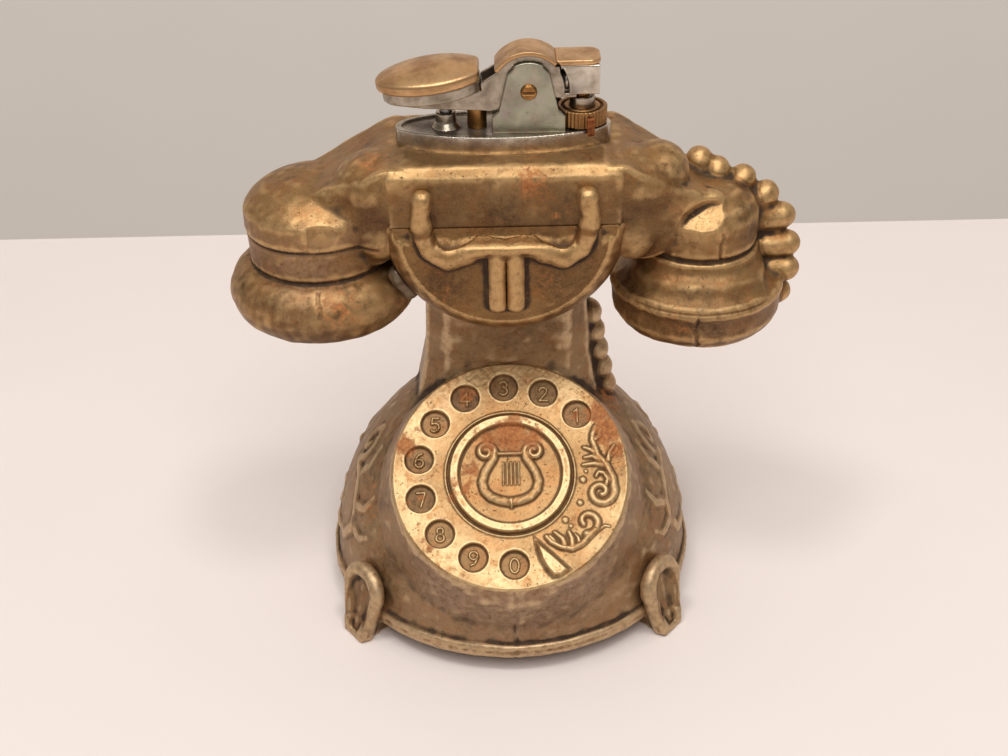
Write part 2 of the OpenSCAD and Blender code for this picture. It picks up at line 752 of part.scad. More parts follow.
module pivot_screw() {
    screw_r = pivot_r + 0.55;
    color(brass) on_table() translate([pivot_x, 0, pivot_z]) rotate([90, 0, 0]) difference() {
        union() {
            translate([0, 0, -bracket_w / 2 - 1.6]) cylinder(r = pivot_r, h = bracket_w + 1.6, $fn = 32);
            translate([0, 0, bracket_w / 2]) cylinder(r1 = screw_r, r2 = screw_r - 0.35, h = 0.8, $fn = 32);
        }
        translate([-screw_r - 1, -0.25, bracket_w / 2 + 0.35]) cube([2 * screw_r + 2, 0.5, 1]);
    }
}

module pivot_nut() {
    color(steel) on_table() translate([pivot_x, bracket_w / 2, pivot_z]) rotate([-90, 0, 0]) difference() {
        cylinder(r = 2.2, h = 1.3, $fn = 6);
        translate([0, 0, -1]) cylinder(r = pivot_r, h = 4, $fn = 32);
    }
}

// The burner valve's body, with a wider neck above the deck and a bore for the jet
module valve_body() {
    bottom = grip_top - 2 - valve_reach;
    color(brass) on_table() translate([burner_at, 0, 0]) difference() {
        union() {
            translate([0, 0, bottom]) cylinder(r = valve_r, h = deck_z - 0.5 - bottom);
            translate([0, 0, deck_z - 0.5]) cylinder(r = neck_r, h = neck_h);
        }
        translate([0, 0, grip_top - valve_reach]) cylinder(r = jet_r + run_gap, h = through);
        translate([0, 0, bottom - 1]) cylinder(r = 0.6, h = 5, $fn = 24);
    }
}

// The seat that the jet closes on
module valve_seal() {
    color("black") on_table() translate([burner_at, 0, grip_top - valve_reach])
        cylinder(r = jet_r - 0.1, h = 0.8);
}

// The jet tube with the flange that the lever's fork lifts
module burner_jet() {
    bottom = grip_top - valve_reach + 0.8 + free_gap;
    top = deck_z + jet_h;
    flange_t = 0.8;
    color(brass) on_table() translate([burner_at, 0, 0]) difference() {
        union() {
            translate([0, 0, bottom]) cylinder(r = jet_r, h = top - bottom);
            translate([0, 0, top - jet_tip]) cylinder(r = jet_r + 0.7, h = flange_t);
        }
        translate([0, 0, bottom + jet_floor]) cylinder(r = 0.7, h = through, $fn = 24);
    }
}

// A knurled ring that turns on the valve's neck
module adjuster_ring() {
    depth = 0.25;
    color(bright_gold) on_table() translate([burner_at, 0, deck_z + free_gap]) difference() {
        linear_extrude(adjuster_h) polygon([for (i = [0:2 * adjuster_grooves - 1])
            rad(180 * i / adjuster_grooves, adjuster_r - (i % 2) * depth)]);
        translate([0, 0, -1]) cylinder(r = neck_r + run_gap, h = 10);
        translate([0, 0, adjuster_h - 0.7]) difference() {
            cylinder(r = adjuster_r - 0.9, h = 1);
            translate([0, 0, -1]) cylinder(r = neck_r + 1.1, h = 3);
        }
    }
}

// A small bent lug on the ring that hangs over the deck's edge
module adjuster_pointer() {
    color("#7a4a2a") on_table() translate([burner_at, 0, deck_z + free_gap]) rotate([0, 0, -75]) union() {
        translate([adjuster_r, -0.8, 0.6]) cube([0.9, 1.6, 1.8]);
        translate([adjuster_r + 0.4, -0.8, -1.2]) cube([0.6, 1.6, 2.4]);
    }
}

// The tube that guides the return plunger and holds its spring
module plunger_guide() {
    outer = plunger_r + run_gap + guide_wall;
    color(nickel) on_table() translate([plunger_at, 0, 0]) difference() {
        union() {
            translate([0, 0, grip_top - guide_deep]) cylinder(r = outer, h = deck_h + guide_deep + guide_proud);
            translate([0, 0, deck_z - 0.5]) cylinder(r1 = outer + 1, r2 = outer, h = 1.4);
        }
        translate([0, 0, grip_top - guide_deep + guide_floor]) cylinder(r = plunger_r + run_gap, h = through);
    }
}

module return_plunger() {
    top = deck_z + 6.48;
    bottom = deck_z + 0.2;
    color(steel) on_table() translate([plunger_at, 0, 0]) union() {
        translate([0, 0, bottom]) cylinder(r = plunger_r, h = top - bottom - plunger_r);
        translate([0, 0, top - plunger_r]) sphere(r = plunger_r, $fn = 32);
    }
}

module return_spring() {
    bottom = grip_top - 8;
    color(steel) on_table() translate([plunger_at, 0, bottom]) difference() {
        cylinder(r = plunger_r - 0.05, h = deck_z + 0.2 - bottom);
        translate([0, 0, -eps]) cylinder(r = plunger_r - 0.4, h = 30);
    }
}

// A brass post that stops the lever when the thumb pad is down
module stop_post() {
    color(brass) on_table() translate([stop_at, 0, deck_z - 2.5]) union() {
        cylinder(r = stop_r - 0.6, h = 2.5);
        translate([0, 0, 2]) cylinder(r = stop_r, h = 5.2);
    }
}

// A place in the pad's sloping frame, given back in the pivot's upright one
function on_side(x, z) = [web_x + x * cos(pad_slope) - z * sin(pad_slope),
    web_z + x * sin(pad_slope) + z * cos(pad_slope)];

// Outline of the lever's side, X and Y from the pivot
module lever_side() {
    hub = cover_r - cover_t;
    difference() {
        union() {
            circle(r = hub);
            polygon([on_side(-web_l, -tray_h), [-24.6, -3.1], [-21, channel_bottom + 0.7],
                [-7.5, channel_bottom], [0, channel_bottom], [0, hub], [-0.866 * hub, 0.5 * hub],
                on_side(0, -0.8), on_side(0, -tray_h)]);
            translate([0, -1]) square([snuffer_at - pivot_x + 0.6, 5.6]);
        }
        translate([-20, -20]) square([60, 20 + channel_bottom]);
        translate([4.6, -9]) square([8, 8]);
        circle(r = pivot_r + run_gap);
    }
}

// A channel of sheet metal, open below, that carries the thumb pad, the wheel cover and the snuffer
module lever_channel() {
    color(nickel) on_table() union() {
        translate([pivot_x, 0, pivot_z]) for (s = [-1, 1])
            along_y(lever_t, s * (lever_w - lever_t) / 2) lever_side();
        on_web() translate([-web_l, lever_t - lever_w / 2 - 0.1, -tray_h - lever_t])
            cube([web_l, lever_w - 2 * lever_t + 0.2, lever_t]);
        valve_fork();
    }
}

// The fork under the jet's flange
module valve_fork() {
    z = deck_z + 6.4;
    difference() {
        translate([pivot_x + 5.8, -lever_w / 2 + lever_t - 0.1, z])
            cube([3.8, lever_w - 2 * lever_t + 0.2, 0.4]);
        translate([burner_at - 0.2, 0, z - 1]) cylinder(r = jet_r + 0.45, h = 3, $fn = 32);
    }
    for (s = [-1, 1]) translate([pivot_x + 4, s * (lever_w - lever_t) / 2 - lever_t / 2, z])
        cube([5.6, lever_t, 0.9]);
}

// Places its children under the thumb pad, Z square to it and its neck at X 0
module on_web() {
    translate([pivot_x + web_x, 0, pivot_z + web_z]) rotate([0, -pad_slope, 0]) children();
}

// The pad's outline: an oval cut square at the neck
module pad_outline(inset) {
    intersection() {
        translate([-pad_l * 0.46, 0]) scale([pad_l * 0.54 - inset, pad_w / 2 - inset])
            circle(r = 1, $fn = 64);
        translate([-pad_l - 1, -pad_w]) square([pad_l + 1, 2 * pad_w]);
    }
}

module thumb_pad() {
    color(bright_gold) on_table() on_web() intersection() {
        linear_extrude(pad_h + 1) pad_outline(0);
        translate([-pad_l * 0.46, 0, -2]) scale([pad_l * 0.7, pad_w * 0.66, pad_h + 2])
            sphere(r = 1, $fn = 64);
    }
}

// The plated pan under the pad
module pad_tray() {
    wall = 0.7;
    color(nickel) on_table() on_web() difference() {
        translate([0, 0, -tray_h]) linear_extrude(tray_h) pad_outline(1);
        translate([0, 0, wall - tray_h]) linear_extrude(tray_h) intersection() {
            pad_outline(1 + wall);
            translate([-pad_l - wall, -pad_w]) square([pad_l, 2 * pad_w]);
        }
    }
}

// Outline of the arch over the wheel, X and Y from the pivot
module cover_arc(inner, outer) {
    difference() {
        intersection() {
            circle(r = outer, $fn = 64);
            polygon([[0, 0], rad(46, 30), rad(0, 30), rad(-58, 30)]);
        }
        circle(r = inner, $fn = 64);
    }
}

module wheel_cover() {
    color(bright_gold) on_table() translate([pivot_x, 0, pivot_z])
        along_y(bracket_w - 0.7) cover_arc(cover_r - cover_t, cover_r);
}

// The box that shuts over the jet, open below
module snuffer_box() {
    wall = 0.6;
    color(nickel) on_table() difference() {
        translate([snuffer_at, -snuffer_w / 2, snuffer_z]) cube([snuffer_l, snuffer_w, snuffer_h]);
        translate([snuffer_at + wall, -snuffer_w / 2 + wall, snuffer_z - 1])
            cube([snuffer_l - 2 * wall, snuffer_w - 2 * wall, snuffer_h + 1 - wall]);
        translate([snuffer_at - 1, -lever_w / 2, snuffer_z - 1]) cube([1.6, lever_w, 6.6]);
        translate([pivot_x, 0, pivot_z]) rotate([90, 0, 0])
            cylinder(r = cover_r, h = 20, center = true, $fn = 64);
    }
}

// The gold lid on the snuffer box, rounded at its free end
module snuffer_cap() {
    color(bright_gold) on_table() difference() {
        translate([0, 0, snuffer_z + snuffer_h]) linear_extrude(cap_t) union() {
            translate([snuffer_at - 1.6, -snuffer_w / 2 - 0.2])
                square([snuffer_l - 0.5, snuffer_w + 0.4]);
            for (s = [-1, 1]) translate([snuffer_at + snuffer_l - 2.1, s * (snuffer_w / 2 - 2.1)])
                circle(r = 2.3);
            translate([snuffer_at + snuffer_l - 3, -snuffer_w / 2 + 2.1]) square([3.2, snuffer_w - 4.2]);
        }
        translate([pivot_x, 0, pivot_z]) rotate([90, 0, 0])
            cylinder(r = cover_r, h = 20, center = true, $fn = 64);
    }
}

module snuffer_pad() {
    color("black") on_table() translate([burner_at, 0, snuffer_z + snuffer_h - 2.5])
        cylinder(r = 2.2, h = 1.9);
}

// A spring finger that turns the ratchet when the lever goes down
module wheel_pawl() {
    root = on_side(-0.5, -tray_h - lever_t);
    color(steel) on_table() translate([pivot_x, 0, pivot_z]) along_y(0.9, wheel_w / 2 + 0.45)
        polygon([root, [root[0] + 0.9, root[1] + 0.1], [-wheel_r - 0.1, -0.9], [-wheel_r - 0.5, -1.3],
            [root[0], root[1] - 0.6]]);
}

// The toothed wheel that strikes the flint
module spark_wheel() {
    color(steel) on_table() translate([pivot_x, 0, pivot_z]) difference() {
        along_y(wheel_w) polygon([for (i = [0:2 * wheel_teeth - 1])
            rad(180 * i / wheel_teeth, wheel_r - (i % 2) * 0.3)]);
        rotate([90, 0, 0]) cylinder(r = pivot_r + run_gap, h = 20, center = true, $fn = 32);
    }
}

module ratchet_wheel() {
    color(steel) on_table() translate([pivot_x, 0, pivot_z]) difference() {
        along_y(0.9, wheel_w / 2 + 0.45)
            polygon([for (i = [0:23]) rad(15 * i, wheel_r - 0.4 - (i % 2) * 0.6)]);
        rotate([90, 0, 0]) cylinder(r = pivot_r + run_gap, h = 20, center = true, $fn = 32);
    }
}

base_casting();
scroll_feet();
dial_plate();
lyre_medallion();
cradle_casting();
handset_casting();
solder_joint();
deck_plate();
gas_tank();
filler_body();
filler_stem();
filler_spring();
flint_tube();
flint();
flint_spring();
flint_screw();
bracket();
bracket_rivets();
pivot_screw();
pivot_nut();
valve_body();
valve_seal();
burner_jet();
adjuster_ring();
adjuster_pointer();
plunger_guide();
return_plunger();
return_spring();
stop_post();
lever_channel();
thumb_pad();
pad_tray();
wheel_cover();
snuffer_box();
snuffer_cap();
snuffer_pad();
wheel_pawl();
spark_wheel();
ratchet_wheel();
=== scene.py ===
"""Dresses the table lighter: worn cast metal with its relief, and the drop-in unit's plated parts."""

import math

import bmesh
import bpy
import numpy as np
from mathutils import Matrix, Vector


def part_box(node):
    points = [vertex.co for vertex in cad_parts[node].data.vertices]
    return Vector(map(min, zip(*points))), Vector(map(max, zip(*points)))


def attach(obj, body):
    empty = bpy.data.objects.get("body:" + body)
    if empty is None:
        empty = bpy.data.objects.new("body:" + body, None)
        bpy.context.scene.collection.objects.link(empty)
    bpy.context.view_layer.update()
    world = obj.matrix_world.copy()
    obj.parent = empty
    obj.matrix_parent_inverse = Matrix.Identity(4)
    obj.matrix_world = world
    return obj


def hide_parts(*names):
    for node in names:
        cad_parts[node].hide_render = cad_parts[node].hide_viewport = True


MM = 0.001
# Where the bell's axis stands, in millimetres
AXIS = (-2.1, 1.4, 0)
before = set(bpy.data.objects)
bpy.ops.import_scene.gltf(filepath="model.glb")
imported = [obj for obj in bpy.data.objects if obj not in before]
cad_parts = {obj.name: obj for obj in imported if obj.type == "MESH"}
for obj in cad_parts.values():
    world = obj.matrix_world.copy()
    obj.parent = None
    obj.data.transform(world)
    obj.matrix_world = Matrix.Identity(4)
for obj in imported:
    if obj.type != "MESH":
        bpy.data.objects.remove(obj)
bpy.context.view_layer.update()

# Camera, as fitted to the photograph's round edges, its place from the bell's axis
FRAME_W = 1008
FOCAL_PX = 1400
SENSOR_MM = 36
PITCH_DEG = 33
ROLL_DEG = 1.2
CAMERA_AT = (-0.9, -268.2, 224.5)
NEAREST = 0.01
FARTHEST = 20


def make_camera():
    data = bpy.data.cameras.new("camera")
    data.sensor_width = SENSOR_MM
    data.sensor_fit = "HORIZONTAL"
    data.lens = FOCAL_PX / FRAME_W * SENSOR_MM
    data.clip_start = NEAREST
    data.clip_end = FARTHEST
    camera = bpy.data.objects.new("camera", data)
    tilt = Matrix.Rotation(math.radians(90 - PITCH_DEG), 4, "X")
    roll = Matrix.Rotation(math.radians(-ROLL_DEG), 4, "Z")
    place = Matrix.Translation([(v + a) * MM for v, a in zip(CAMERA_AT, AXIS)])
    camera.matrix_world = place @ tilt @ roll
    bpy.context.scene.collection.objects.link(camera)
    bpy.context.scene.camera = camera


make_camera()


# Node trees


class Tree:
    """Short names for the nodes of one material."""

    def __init__(self, name):
        self.material = bpy.data.materials.new(name)
        self.material.use_nodes = True
        self.nodes = self.material.node_tree.nodes
        self.links = self.material.node_tree.links
        self.shader = self.nodes["Principled BSDF"]
        self.place = self.nodes.new("ShaderNodeTexCoord").outputs["Object"]

    def put(self, value, socket):
        """Links a socket to an input, or writes a plain value on it."""
        if isinstance(value, bpy.types.NodeSocket):
            self.links.new(value, socket)
        elif isinstance(value, tuple) and len(value) == 3 and socket.type == "RGBA":
            socket.default_value = (*value, 1)
        else:
            socket.default_value = value

    def noise(self, size_mm, detail, rough, warp=0.0, offset=0.0):
        """A noise from 0 to 1 whose largest forms are about size_mm."""
        node = self.nodes.new("ShaderNodeTexNoise")
        node.noise_dimensions = "4D"
        node.inputs["W"].default_value = offset
        node.inputs["Scale"].default_value = 1 / (size_mm * MM)
        node.inputs["Detail"].default_value = detail
        node.inputs["Roughness"].default_value = rough
        node.inputs["Distortion"].default_value = warp
        self.links.new(self.place, node.inputs["Vector"])
        return node.outputs["Fac"]

    def ramp(self, value, low, high, start=0.0, end=1.0):
        """value taken smoothly from start at low to end at high."""
        node = self.nodes.new("ShaderNodeMapRange")
        node.interpolation_type = "SMOOTHSTEP"
        self.put(value, node.inputs["Value"])
        node.inputs["From Min"].default_value = low
        node.inputs["From Max"].default_value = high
        node.inputs["To Min"].default_value = start
        node.inputs["To Max"].default_value = end
        return node.outputs["Result"]

    def math(self, kind, a, b, clamp=False):
        node = self.nodes.new("ShaderNodeMath")
        node.operation = kind
        node.use_clamp = clamp
        self.put(a, node.inputs[0])
        self.put(b, node.inputs[1])
        return node.outputs[0]

    def share(self, value, amount):
        """value times amount."""
        return self.math("MULTIPLY", value, amount)

    def swing(self, value, amount):
        """A noise's swing about its middle, from minus to plus half of amount."""
        return self.share(self.math("SUBTRACT", value, 0.5), amount)

    def mix(self, factor, a, b):
        """The colour a where factor is 0, and b where it is 1."""
        node = self.nodes.new("ShaderNodeMix")
        node.data_type = "RGBA"
        self.put(factor, node.inputs[0])
        self.put(a, node.inputs[6])
        self.put(b, node.inputs[7])
        return node.outputs[2]

    def told(self, name):
        """A value that the mesh carries at each point."""
        node = self.nodes.new("ShaderNodeAttribute")
        node.attribute_name = name
        return node.outputs["Fac"]

    def bump(self, height, depth_mm, strength=1.0, under=None):
        """Fine relief of the given depth, over the relief that is under it."""
        node = self.nodes.new("ShaderNodeBump")
        node.inputs["Strength"].default_value = strength
        node.inputs["Distance"].default_value = depth_mm * MM
        self.put(height, node.inputs["Height"])
        if under is not None:
            self.put(under, node.inputs["Normal"])
        return node.outputs["Normal"]

    def finish(self, colour, metallic, roughness, normal=None):
        self.put(colour, self.shader.inputs["Base Color"])
        self.put(metallic, self.shader.inputs["Metallic"])
        self.put(roughness, self.shader.inputs["Roughness"])
        if normal is not None:
            self.put(normal, self.shader.inputs["Normal"])
        return self.material


def linear(red, green, blue):
    """A display colour, each part from 0 to 255, as a linear one."""
    parts = [v / 255 for v in (red, green, blue)]
    return tuple(v / 12.92 if v <= 0.04045 else ((v + 0.055) / 1.055) ** 2.4 for v in parts)


RUST = linear(150, 78, 34)
RUST_PALE = linear(206, 132, 70)
GRIME_AND_SHADE = linear(52, 33, 17)
WORN_GREY = linear(176, 146, 122)
FILM_GREEN = linear(150, 178, 150)
FILM_ROSE = linear(186, 150, 164)
# How the gilt's middle colour turns reddish: shares of its red, green and blue
REDDISH = (1.12, 0.8, 0.6)
# How hollow a point is, in millimetres, where a look begins and where it is full
CAST_EDGE = (-0.012, -0.08)
CAST_HOLLOW = (0.02, 0.12)
PLATE_EDGE = (-0.004, -0.03)
PLATE_HOLLOW = (0.008, 0.05)


def cast_gold(name, light, mid, dark, roughness, rust_bias=0.0, dirt_and_shade_strength=0.95):
    """Old gilt paint over cast metal: grimy and with painted shade in hollows, with painted shade below,
    bright on edges, and rusty in places.

    Rust_bias makes the patches of rust larger, and the last argument says how strong the grime and painted
    shade in hollows and pits are.
    """
    t = Tree(name)
    light, mid, dark = [linear(*colour) for colour in (light, mid, dark)]
    broad = t.noise(13, 5, 0.6, 0.4)
    fine = t.noise(1.5, 6, 0.65, 0.0, 3.0)
    grain = t.noise(0.28, 3, 0.6, 0.0, 5.0)
    hollow = t.told("hollow")

    # Broad clouds and a fine mottle, reddish in places
    tone = t.share(t.ramp(broad, 0.3, 0.72, 0.25, 0.8), 0.8)
    tone = t.math("ADD", tone, t.swing(fine, 1.0))
    colour = t.mix(t.ramp(tone, 0.0, 0.5), dark, mid)
    colour = t.mix(t.ramp(tone, 0.5, 1.15), colour, light)
    reddish = tuple(v * share for v, share in zip(mid, REDDISH))
    colour = t.mix(t.ramp(t.noise(5, 5, 0.65, 0.3, 41.0), 0.42, 0.66, 0.0, 0.5), colour, reddish)

    # Painted shade where it faces down, with pale grains and dark specks
    under = t.ramp(t.math("ADD", t.told("up"), t.swing(broad, 0.5)), 0.4, -0.3)
    colour = t.mix(t.share(under, 0.6), colour, dark)
    colour = t.mix(t.share(t.ramp(grain, 0.5, 0.78), 0.3), colour, light)
    specks = t.ramp(t.noise(0.5, 4, 0.7, 0.0, 15.0), 0.56, 0.68)
    colour = t.mix(t.share(specks, 0.6), colour, dark)

    # Bare grey metal, pale marks (worn gilt on the dial, painted highlights on the handset) and rubbed edges
    worn = t.math("MULTIPLY", t.told("grey"), t.ramp(fine, 0.3, 0.62))
    colour = t.mix(t.share(worn, 0.7), colour, WORN_GREY)
    pale = t.math("MULTIPLY", t.told("pale"), t.ramp(t.noise(2.6, 5, 0.7, 0.3, 17.0), 0.36, 0.56))
    colour = t.mix(t.share(pale, 0.85), colour, light)
    edge = t.math("MULTIPLY", t.ramp(hollow, *CAST_EDGE), t.ramp(fine, 0.3, 0.6, 0.3, 0.8))
    colour = t.mix(edge, colour, light)

    # Grime and painted shade in hollows, grime in pits, and the painted shade and grime that the mesh tells
    # of
    pits = t.ramp(t.noise(0.75, 4, 0.7, 0.0, 9.0), 0.6, 0.72)
    dirt_and_shade = t.math("ADD", t.ramp(hollow, *CAST_HOLLOW), t.share(pits, 0.7), clamp=True)
    dirt_and_shade = t.math("MULTIPLY", dirt_and_shade, t.ramp(t.noise(4, 4, 0.6, 0.0, 12.0), 0.22, 0.55, dirt_and_shade_strength * 0.5, dirt_and_shade_strength))
    soot = t.math("MULTIPLY", t.told("soot"), t.ramp(fine, 0.25, 0.6, 1.0, 0.55))
    dirt_and_shade = t.math("MAXIMUM", dirt_and_shade, soot)
    colour = t.mix(dirt_and_shade, colour, GRIME_AND_SHADE)

    # Rust: told places, scattered patches and freckles
    spread = t.math("ADD", t.told("rust"), t.swing(fine, 1.7))
    patches = t.ramp(t.noise(7, 6, 0.7, 0.6, 21.0), 0.58 - rust_bias, 0.74 - rust_bias)
    freckles = t.ramp(t.noise(0.8, 4, 0.7, 0.0, 52.0), 0.6, 0.7)
    rust = t.math("ADD", t.ramp(spread, 0.32, 0.7), t.share(patches, 0.55), clamp=True)
    rust = t.math("MAXIMUM", rust, t.share(freckles, 0.6))
    rust_colour = t.mix(t.ramp(t.noise(0.9, 5, 0.7, 0.0, 30.0), 0.35, 0.65), RUST, RUST_PALE)
    colour = t.mix(t.share(rust, 0.78), colour, rust_colour)

    # Rust, dirt and painted shade are duller and less metallic
    rust_dirt_and_shade = t.math("MAXIMUM", rust, dirt_and_shade)
    metallic = t.math("SUBTRACT", 0.8, t.share(rust_dirt_and_shade, 0.6))
    rough = t.math("ADD", roughness, t.swing(fine, 0.28))
    rough = t.math("ADD", rough, t.share(rust_dirt_and_shade, 0.32), clamp=True)
    normal = t.bump(fine, 0.10)
    normal = t.bump(pits, 0.09, 0.9, normal)
    normal = t.bump(grain, 0.035, 1.0, normal)
    return t.finish(colour, metallic, rough, normal)


def plated(name, bright, dull, roughness, stain_and_shade=(104, 84, 62), spotting=0.5, tint=0.0):
    """Plated sheet metal, clouded and spotted with age, with painted shade in its hollows and where the mesh
    tells of it. Tint is the strength of a thin rainbow film.
    """
    t = Tree(name)
    bright, dull, stain_and_shade = [linear(*colour) for colour in (bright, dull, stain_and_shade)]
    cloud = t.noise(5, 5, 0.6, 0.5, 2.0)
    fine = t.noise(0.8, 5, 0.7, 0.0, 4.0)
    scratch = t.noise(0.16, 2, 0.5, 0.0, 6.0)
    hollow = t.told("hollow")
    colour = t.mix(t.ramp(cloud, 0.32, 0.68), dull, bright)
    if tint:
        film = t.noise(4, 2, 0.5, 0.2, 33.0)
        colour = t.mix(t.share(t.ramp(film, 0.4, 0.52), tint), colour, FILM_GREEN)
        colour = t.mix(t.share(t.ramp(film, 0.54, 0.66), tint), colour, FILM_ROSE)

    # Rubbed edges, stained spots and painted shade in hollows, and the painted shade that the mesh tells of
    colour = t.mix(t.share(t.ramp(hollow, *PLATE_EDGE), 0.5), colour, bright)
    spots = t.share(t.ramp(fine, 0.56, 0.72), spotting)
    spots_and_shade = t.math("ADD", spots, t.share(t.ramp(hollow, *PLATE_HOLLOW), 0.7), clamp=True)
    colour = t.mix(spots_and_shade, colour, stain_and_shade)
    soot = t.math("MULTIPLY", t.told("soot"), t.ramp(fine, 0.25, 0.6, 1.0, 0.7))
    colour = t.mix(soot, colour, GRIME_AND_SHADE)
    spots_and_shade = t.math("MAXIMUM", spots_and_shade, soot)
    metallic = t.math("SUBTRACT", 0.97, t.share(spots_and_shade, 0.45))
    rough = t.math("ADD", t.ramp(cloud, 0.3, 0.7, roughness + 0.14, roughness), t.share(spots_and_shade, 0.3))
    normal = t.bump(fine, 0.03)
    normal = t.bump(scratch, 0.008, 0.8, normal)
    return t.finish(colour, metallic, rough, normal)


# Each material with its colours as they are seen, from light to dark, and its roughness
MATERIALS = {
    "casting": cast_gold("casting_gold", (212, 172, 118), (152, 116, 72), (88, 60, 35), 0.44),
    "bell": cast_gold("bell_gold", (212, 182, 142), (154, 124, 88), (100, 76, 50), 0.46),
    "dial": cast_gold("dial_gold", (216, 186, 138), (166, 128, 83), (114, 82, 48), 0.46, dirt_and_shade_strength=0.6),
    "rusty": cast_gold("rusty_metal", (170, 100, 54), (120, 64, 34), (64, 36, 22), 0.7, rust_bias=0.2),
    "gilt": plated("gilt_metal", (214, 172, 124), (168, 128, 88), 0.3, stain_and_shade=(112, 80, 52)),
    "knurled": plated("knurled_gilt", (168, 126, 80), (118, 84, 52), 0.36, stain_and_shade=(84, 52, 30), spotting=0.8),
    "nickel": plated("nickel_plate", (186, 174, 156), (132, 118, 102), 0.26),
    "tinted": plated("tinted_plate", (176, 168, 148), (150, 136, 122), 0.3, tint=0.22),
    "polished": plated("polished_rim", (214, 204, 188), (150, 136, 120), 0.14, spotting=0.3),
    "chrome": plated("chrome_plate", (196, 184, 166), (138, 124, 108), 0.16, spotting=0.45),
    "brass": plated("brass_metal", (176, 128, 74), (122, 84, 46), 0.3),
    "steel": plated("steel_metal", (180, 178, 174), (122, 118, 112), 0.3),
    "solder": plated("solder_metal", (150, 134, 114), (84, 68, 50), 0.46),
    "dark": plated("dark_metal", (96, 90, 82), (52, 47, 42), 0.42),
    "rubber": plated("rubber_seal", (40, 38, 36), (24, 23, 22), 0.6),
}


# Meshes as arrays, in millimetres


def points_of(mesh):
    """The mesh's points."""
    found = np.empty(len(mesh.vertices) * 3, np.float32)
    mesh.vertices.foreach_get("co", found)
    return found.reshape(-1, 3).astype(float) / MM


def normals_of(mesh):
    """The way that each point's surface faces."""
    found = np.empty(len(mesh.vertices) * 3, np.float32)
    mesh.vertex_normals.foreach_get("vector", found)
    return found.reshape(-1, 3).astype(float)


def put_points(mesh, points):
    """Moves the mesh's points."""
    mesh.vertices.foreach_set("co", (points * MM).astype(np.float32).ravel())
    mesh.update()


class Smoother:
    """Averages a value at each point of a mesh with its neighbours'."""

    def __init__(self, mesh):
        ends = np.empty(len(mesh.edges) * 2, np.int32)
        mesh.edges.foreach_get("vertices", ends)
        ends = ends.reshape(-1, 2)
        self.to = np.concatenate([ends[:, 0], ends[:, 1]])
        self.of = np.concatenate([ends[:, 1], ends[:, 0]])
        self.size = len(mesh.vertices)
        self.count = np.maximum(np.bincount(self.to, minlength=self.size), 1)[:, None]

    def __call__(self, values, times, share=0.6):
        for _ in range(times):
            taken = values[self.of]
            sums = [np.bincount(self.to, taken[:, k], self.size) for k in range(values.shape[1])]
            values = values + share * (np.stack(sums, 1) / self.count - values)
        return values


def tell(mesh, name, values):
    """Stores a value at each point for the material to read."""
    made = mesh.attributes.new(name, "FLOAT", "POINT")
    made.data.foreach_set("value", np.asarray(values, np.float32))


def settle(mesh, reach=14, calm=0.0):
    """Tells how hollow or proud each point is, and how far it faces up. Calm points count as flat."""
    smoother = Smoother(mesh)
    points, normals = points_of(mesh), normals_of(mesh)
    lifted = smoother(points, reach)
    hollow = ((lifted - points) * normals).sum(1) * (1 - calm)
    tell(mesh, "hollow", smoother(hollow[:, None], 2)[:, 0])
    tell(mesh, "up", smoother(normals, 6)[:, 2])


def add_object(name, mesh, body, material, slot, *nodes):
    """Shows a mesh in place of CAD nodes, and has it ride on a body."""
    made = bpy.data.objects.new(name, mesh)
    bpy.context.scene.collection.objects.link(made)
    mesh.materials.clear()
    mesh.materials.append(MATERIALS[material])
    mesh.polygons.foreach_set("use_smooth", [True] * len(mesh.polygons))
    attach(made, body)
    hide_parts(*nodes)
    return made


def voxel_mesh(name, node, voxel, fill):
    """One closed mesh over a CAD node and over lumps of metal, each (x, y, z and three half-lengths)."""
    joined = bmesh.new()
    joined.from_mesh(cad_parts[node].data)
    bmesh.ops.remove_doubles(joined, verts=joined.verts, dist=1e-6)
    for x, y, z, *half in fill:
        place = Matrix.Translation([(v + a) * MM for v, a in zip((x, y, z), AXIS)])
        size = Matrix.Diagonal([v * MM for v in half] + [1])
        bmesh.ops.create_icosphere(joined, subdivisions=3, radius=1, matrix=place @ size)
    mesh = bpy.data.meshes.new(name)
    joined.to_mesh(mesh)
    joined.free()
    holder = bpy.data.objects.new(name + "_rough", mesh)
    bpy.context.scene.collection.objects.link(holder)
    voxels = holder.modifiers.new("voxels", "REMESH")
    voxels.mode = "VOXEL"
    voxels.voxel_size = voxel * MM
    graph = bpy.context.evaluated_depsgraph_get()
    made = bpy.data.meshes.new_from_object(holder.evaluated_get(graph))
    bpy.data.objects.remove(holder)
    made.name = name
    return made


def marks(points, places):
    """How strongly each point is within places, each (x, y, z, radius, strength) from the bell's axis."""
    points = points - AXIS
    found = np.zeros(len(points))
    for x, y, z, radius, strength in places:
        away = ((points - (x, y, z)) ** 2).sum(1) / radius**2
        found = np.maximum(found, strength * np.exp(-away))
    return found


def waves(points, size, seed, count=24):
    """A smooth, irregular swelling from about -1 to 1, with forms of about the given size."""
    own = np.random.default_rng(seed)
    total = np.zeros(len(points))
    for _ in range(count):
        way = own.normal(size=3)
        way *= 2 * math.pi / (size * own.uniform(0.7, 1.6)) / np.linalg.norm(way)
        total += np.sin(points @ way + own.uniform(0, 2 * math.pi))
    return total / math.sqrt(count)


# Marks the mesh carries: rust, bare grey metal, pale places (worn gilt, and painted highlights on the
# handset), and darker places (painted shade, with grime in the dial's wells and round a pit)
MARKS = ("rust", "grey", "pale", "soot")
# How many rounds of smoothing a melted place gets
MELT_ROUNDS = 50


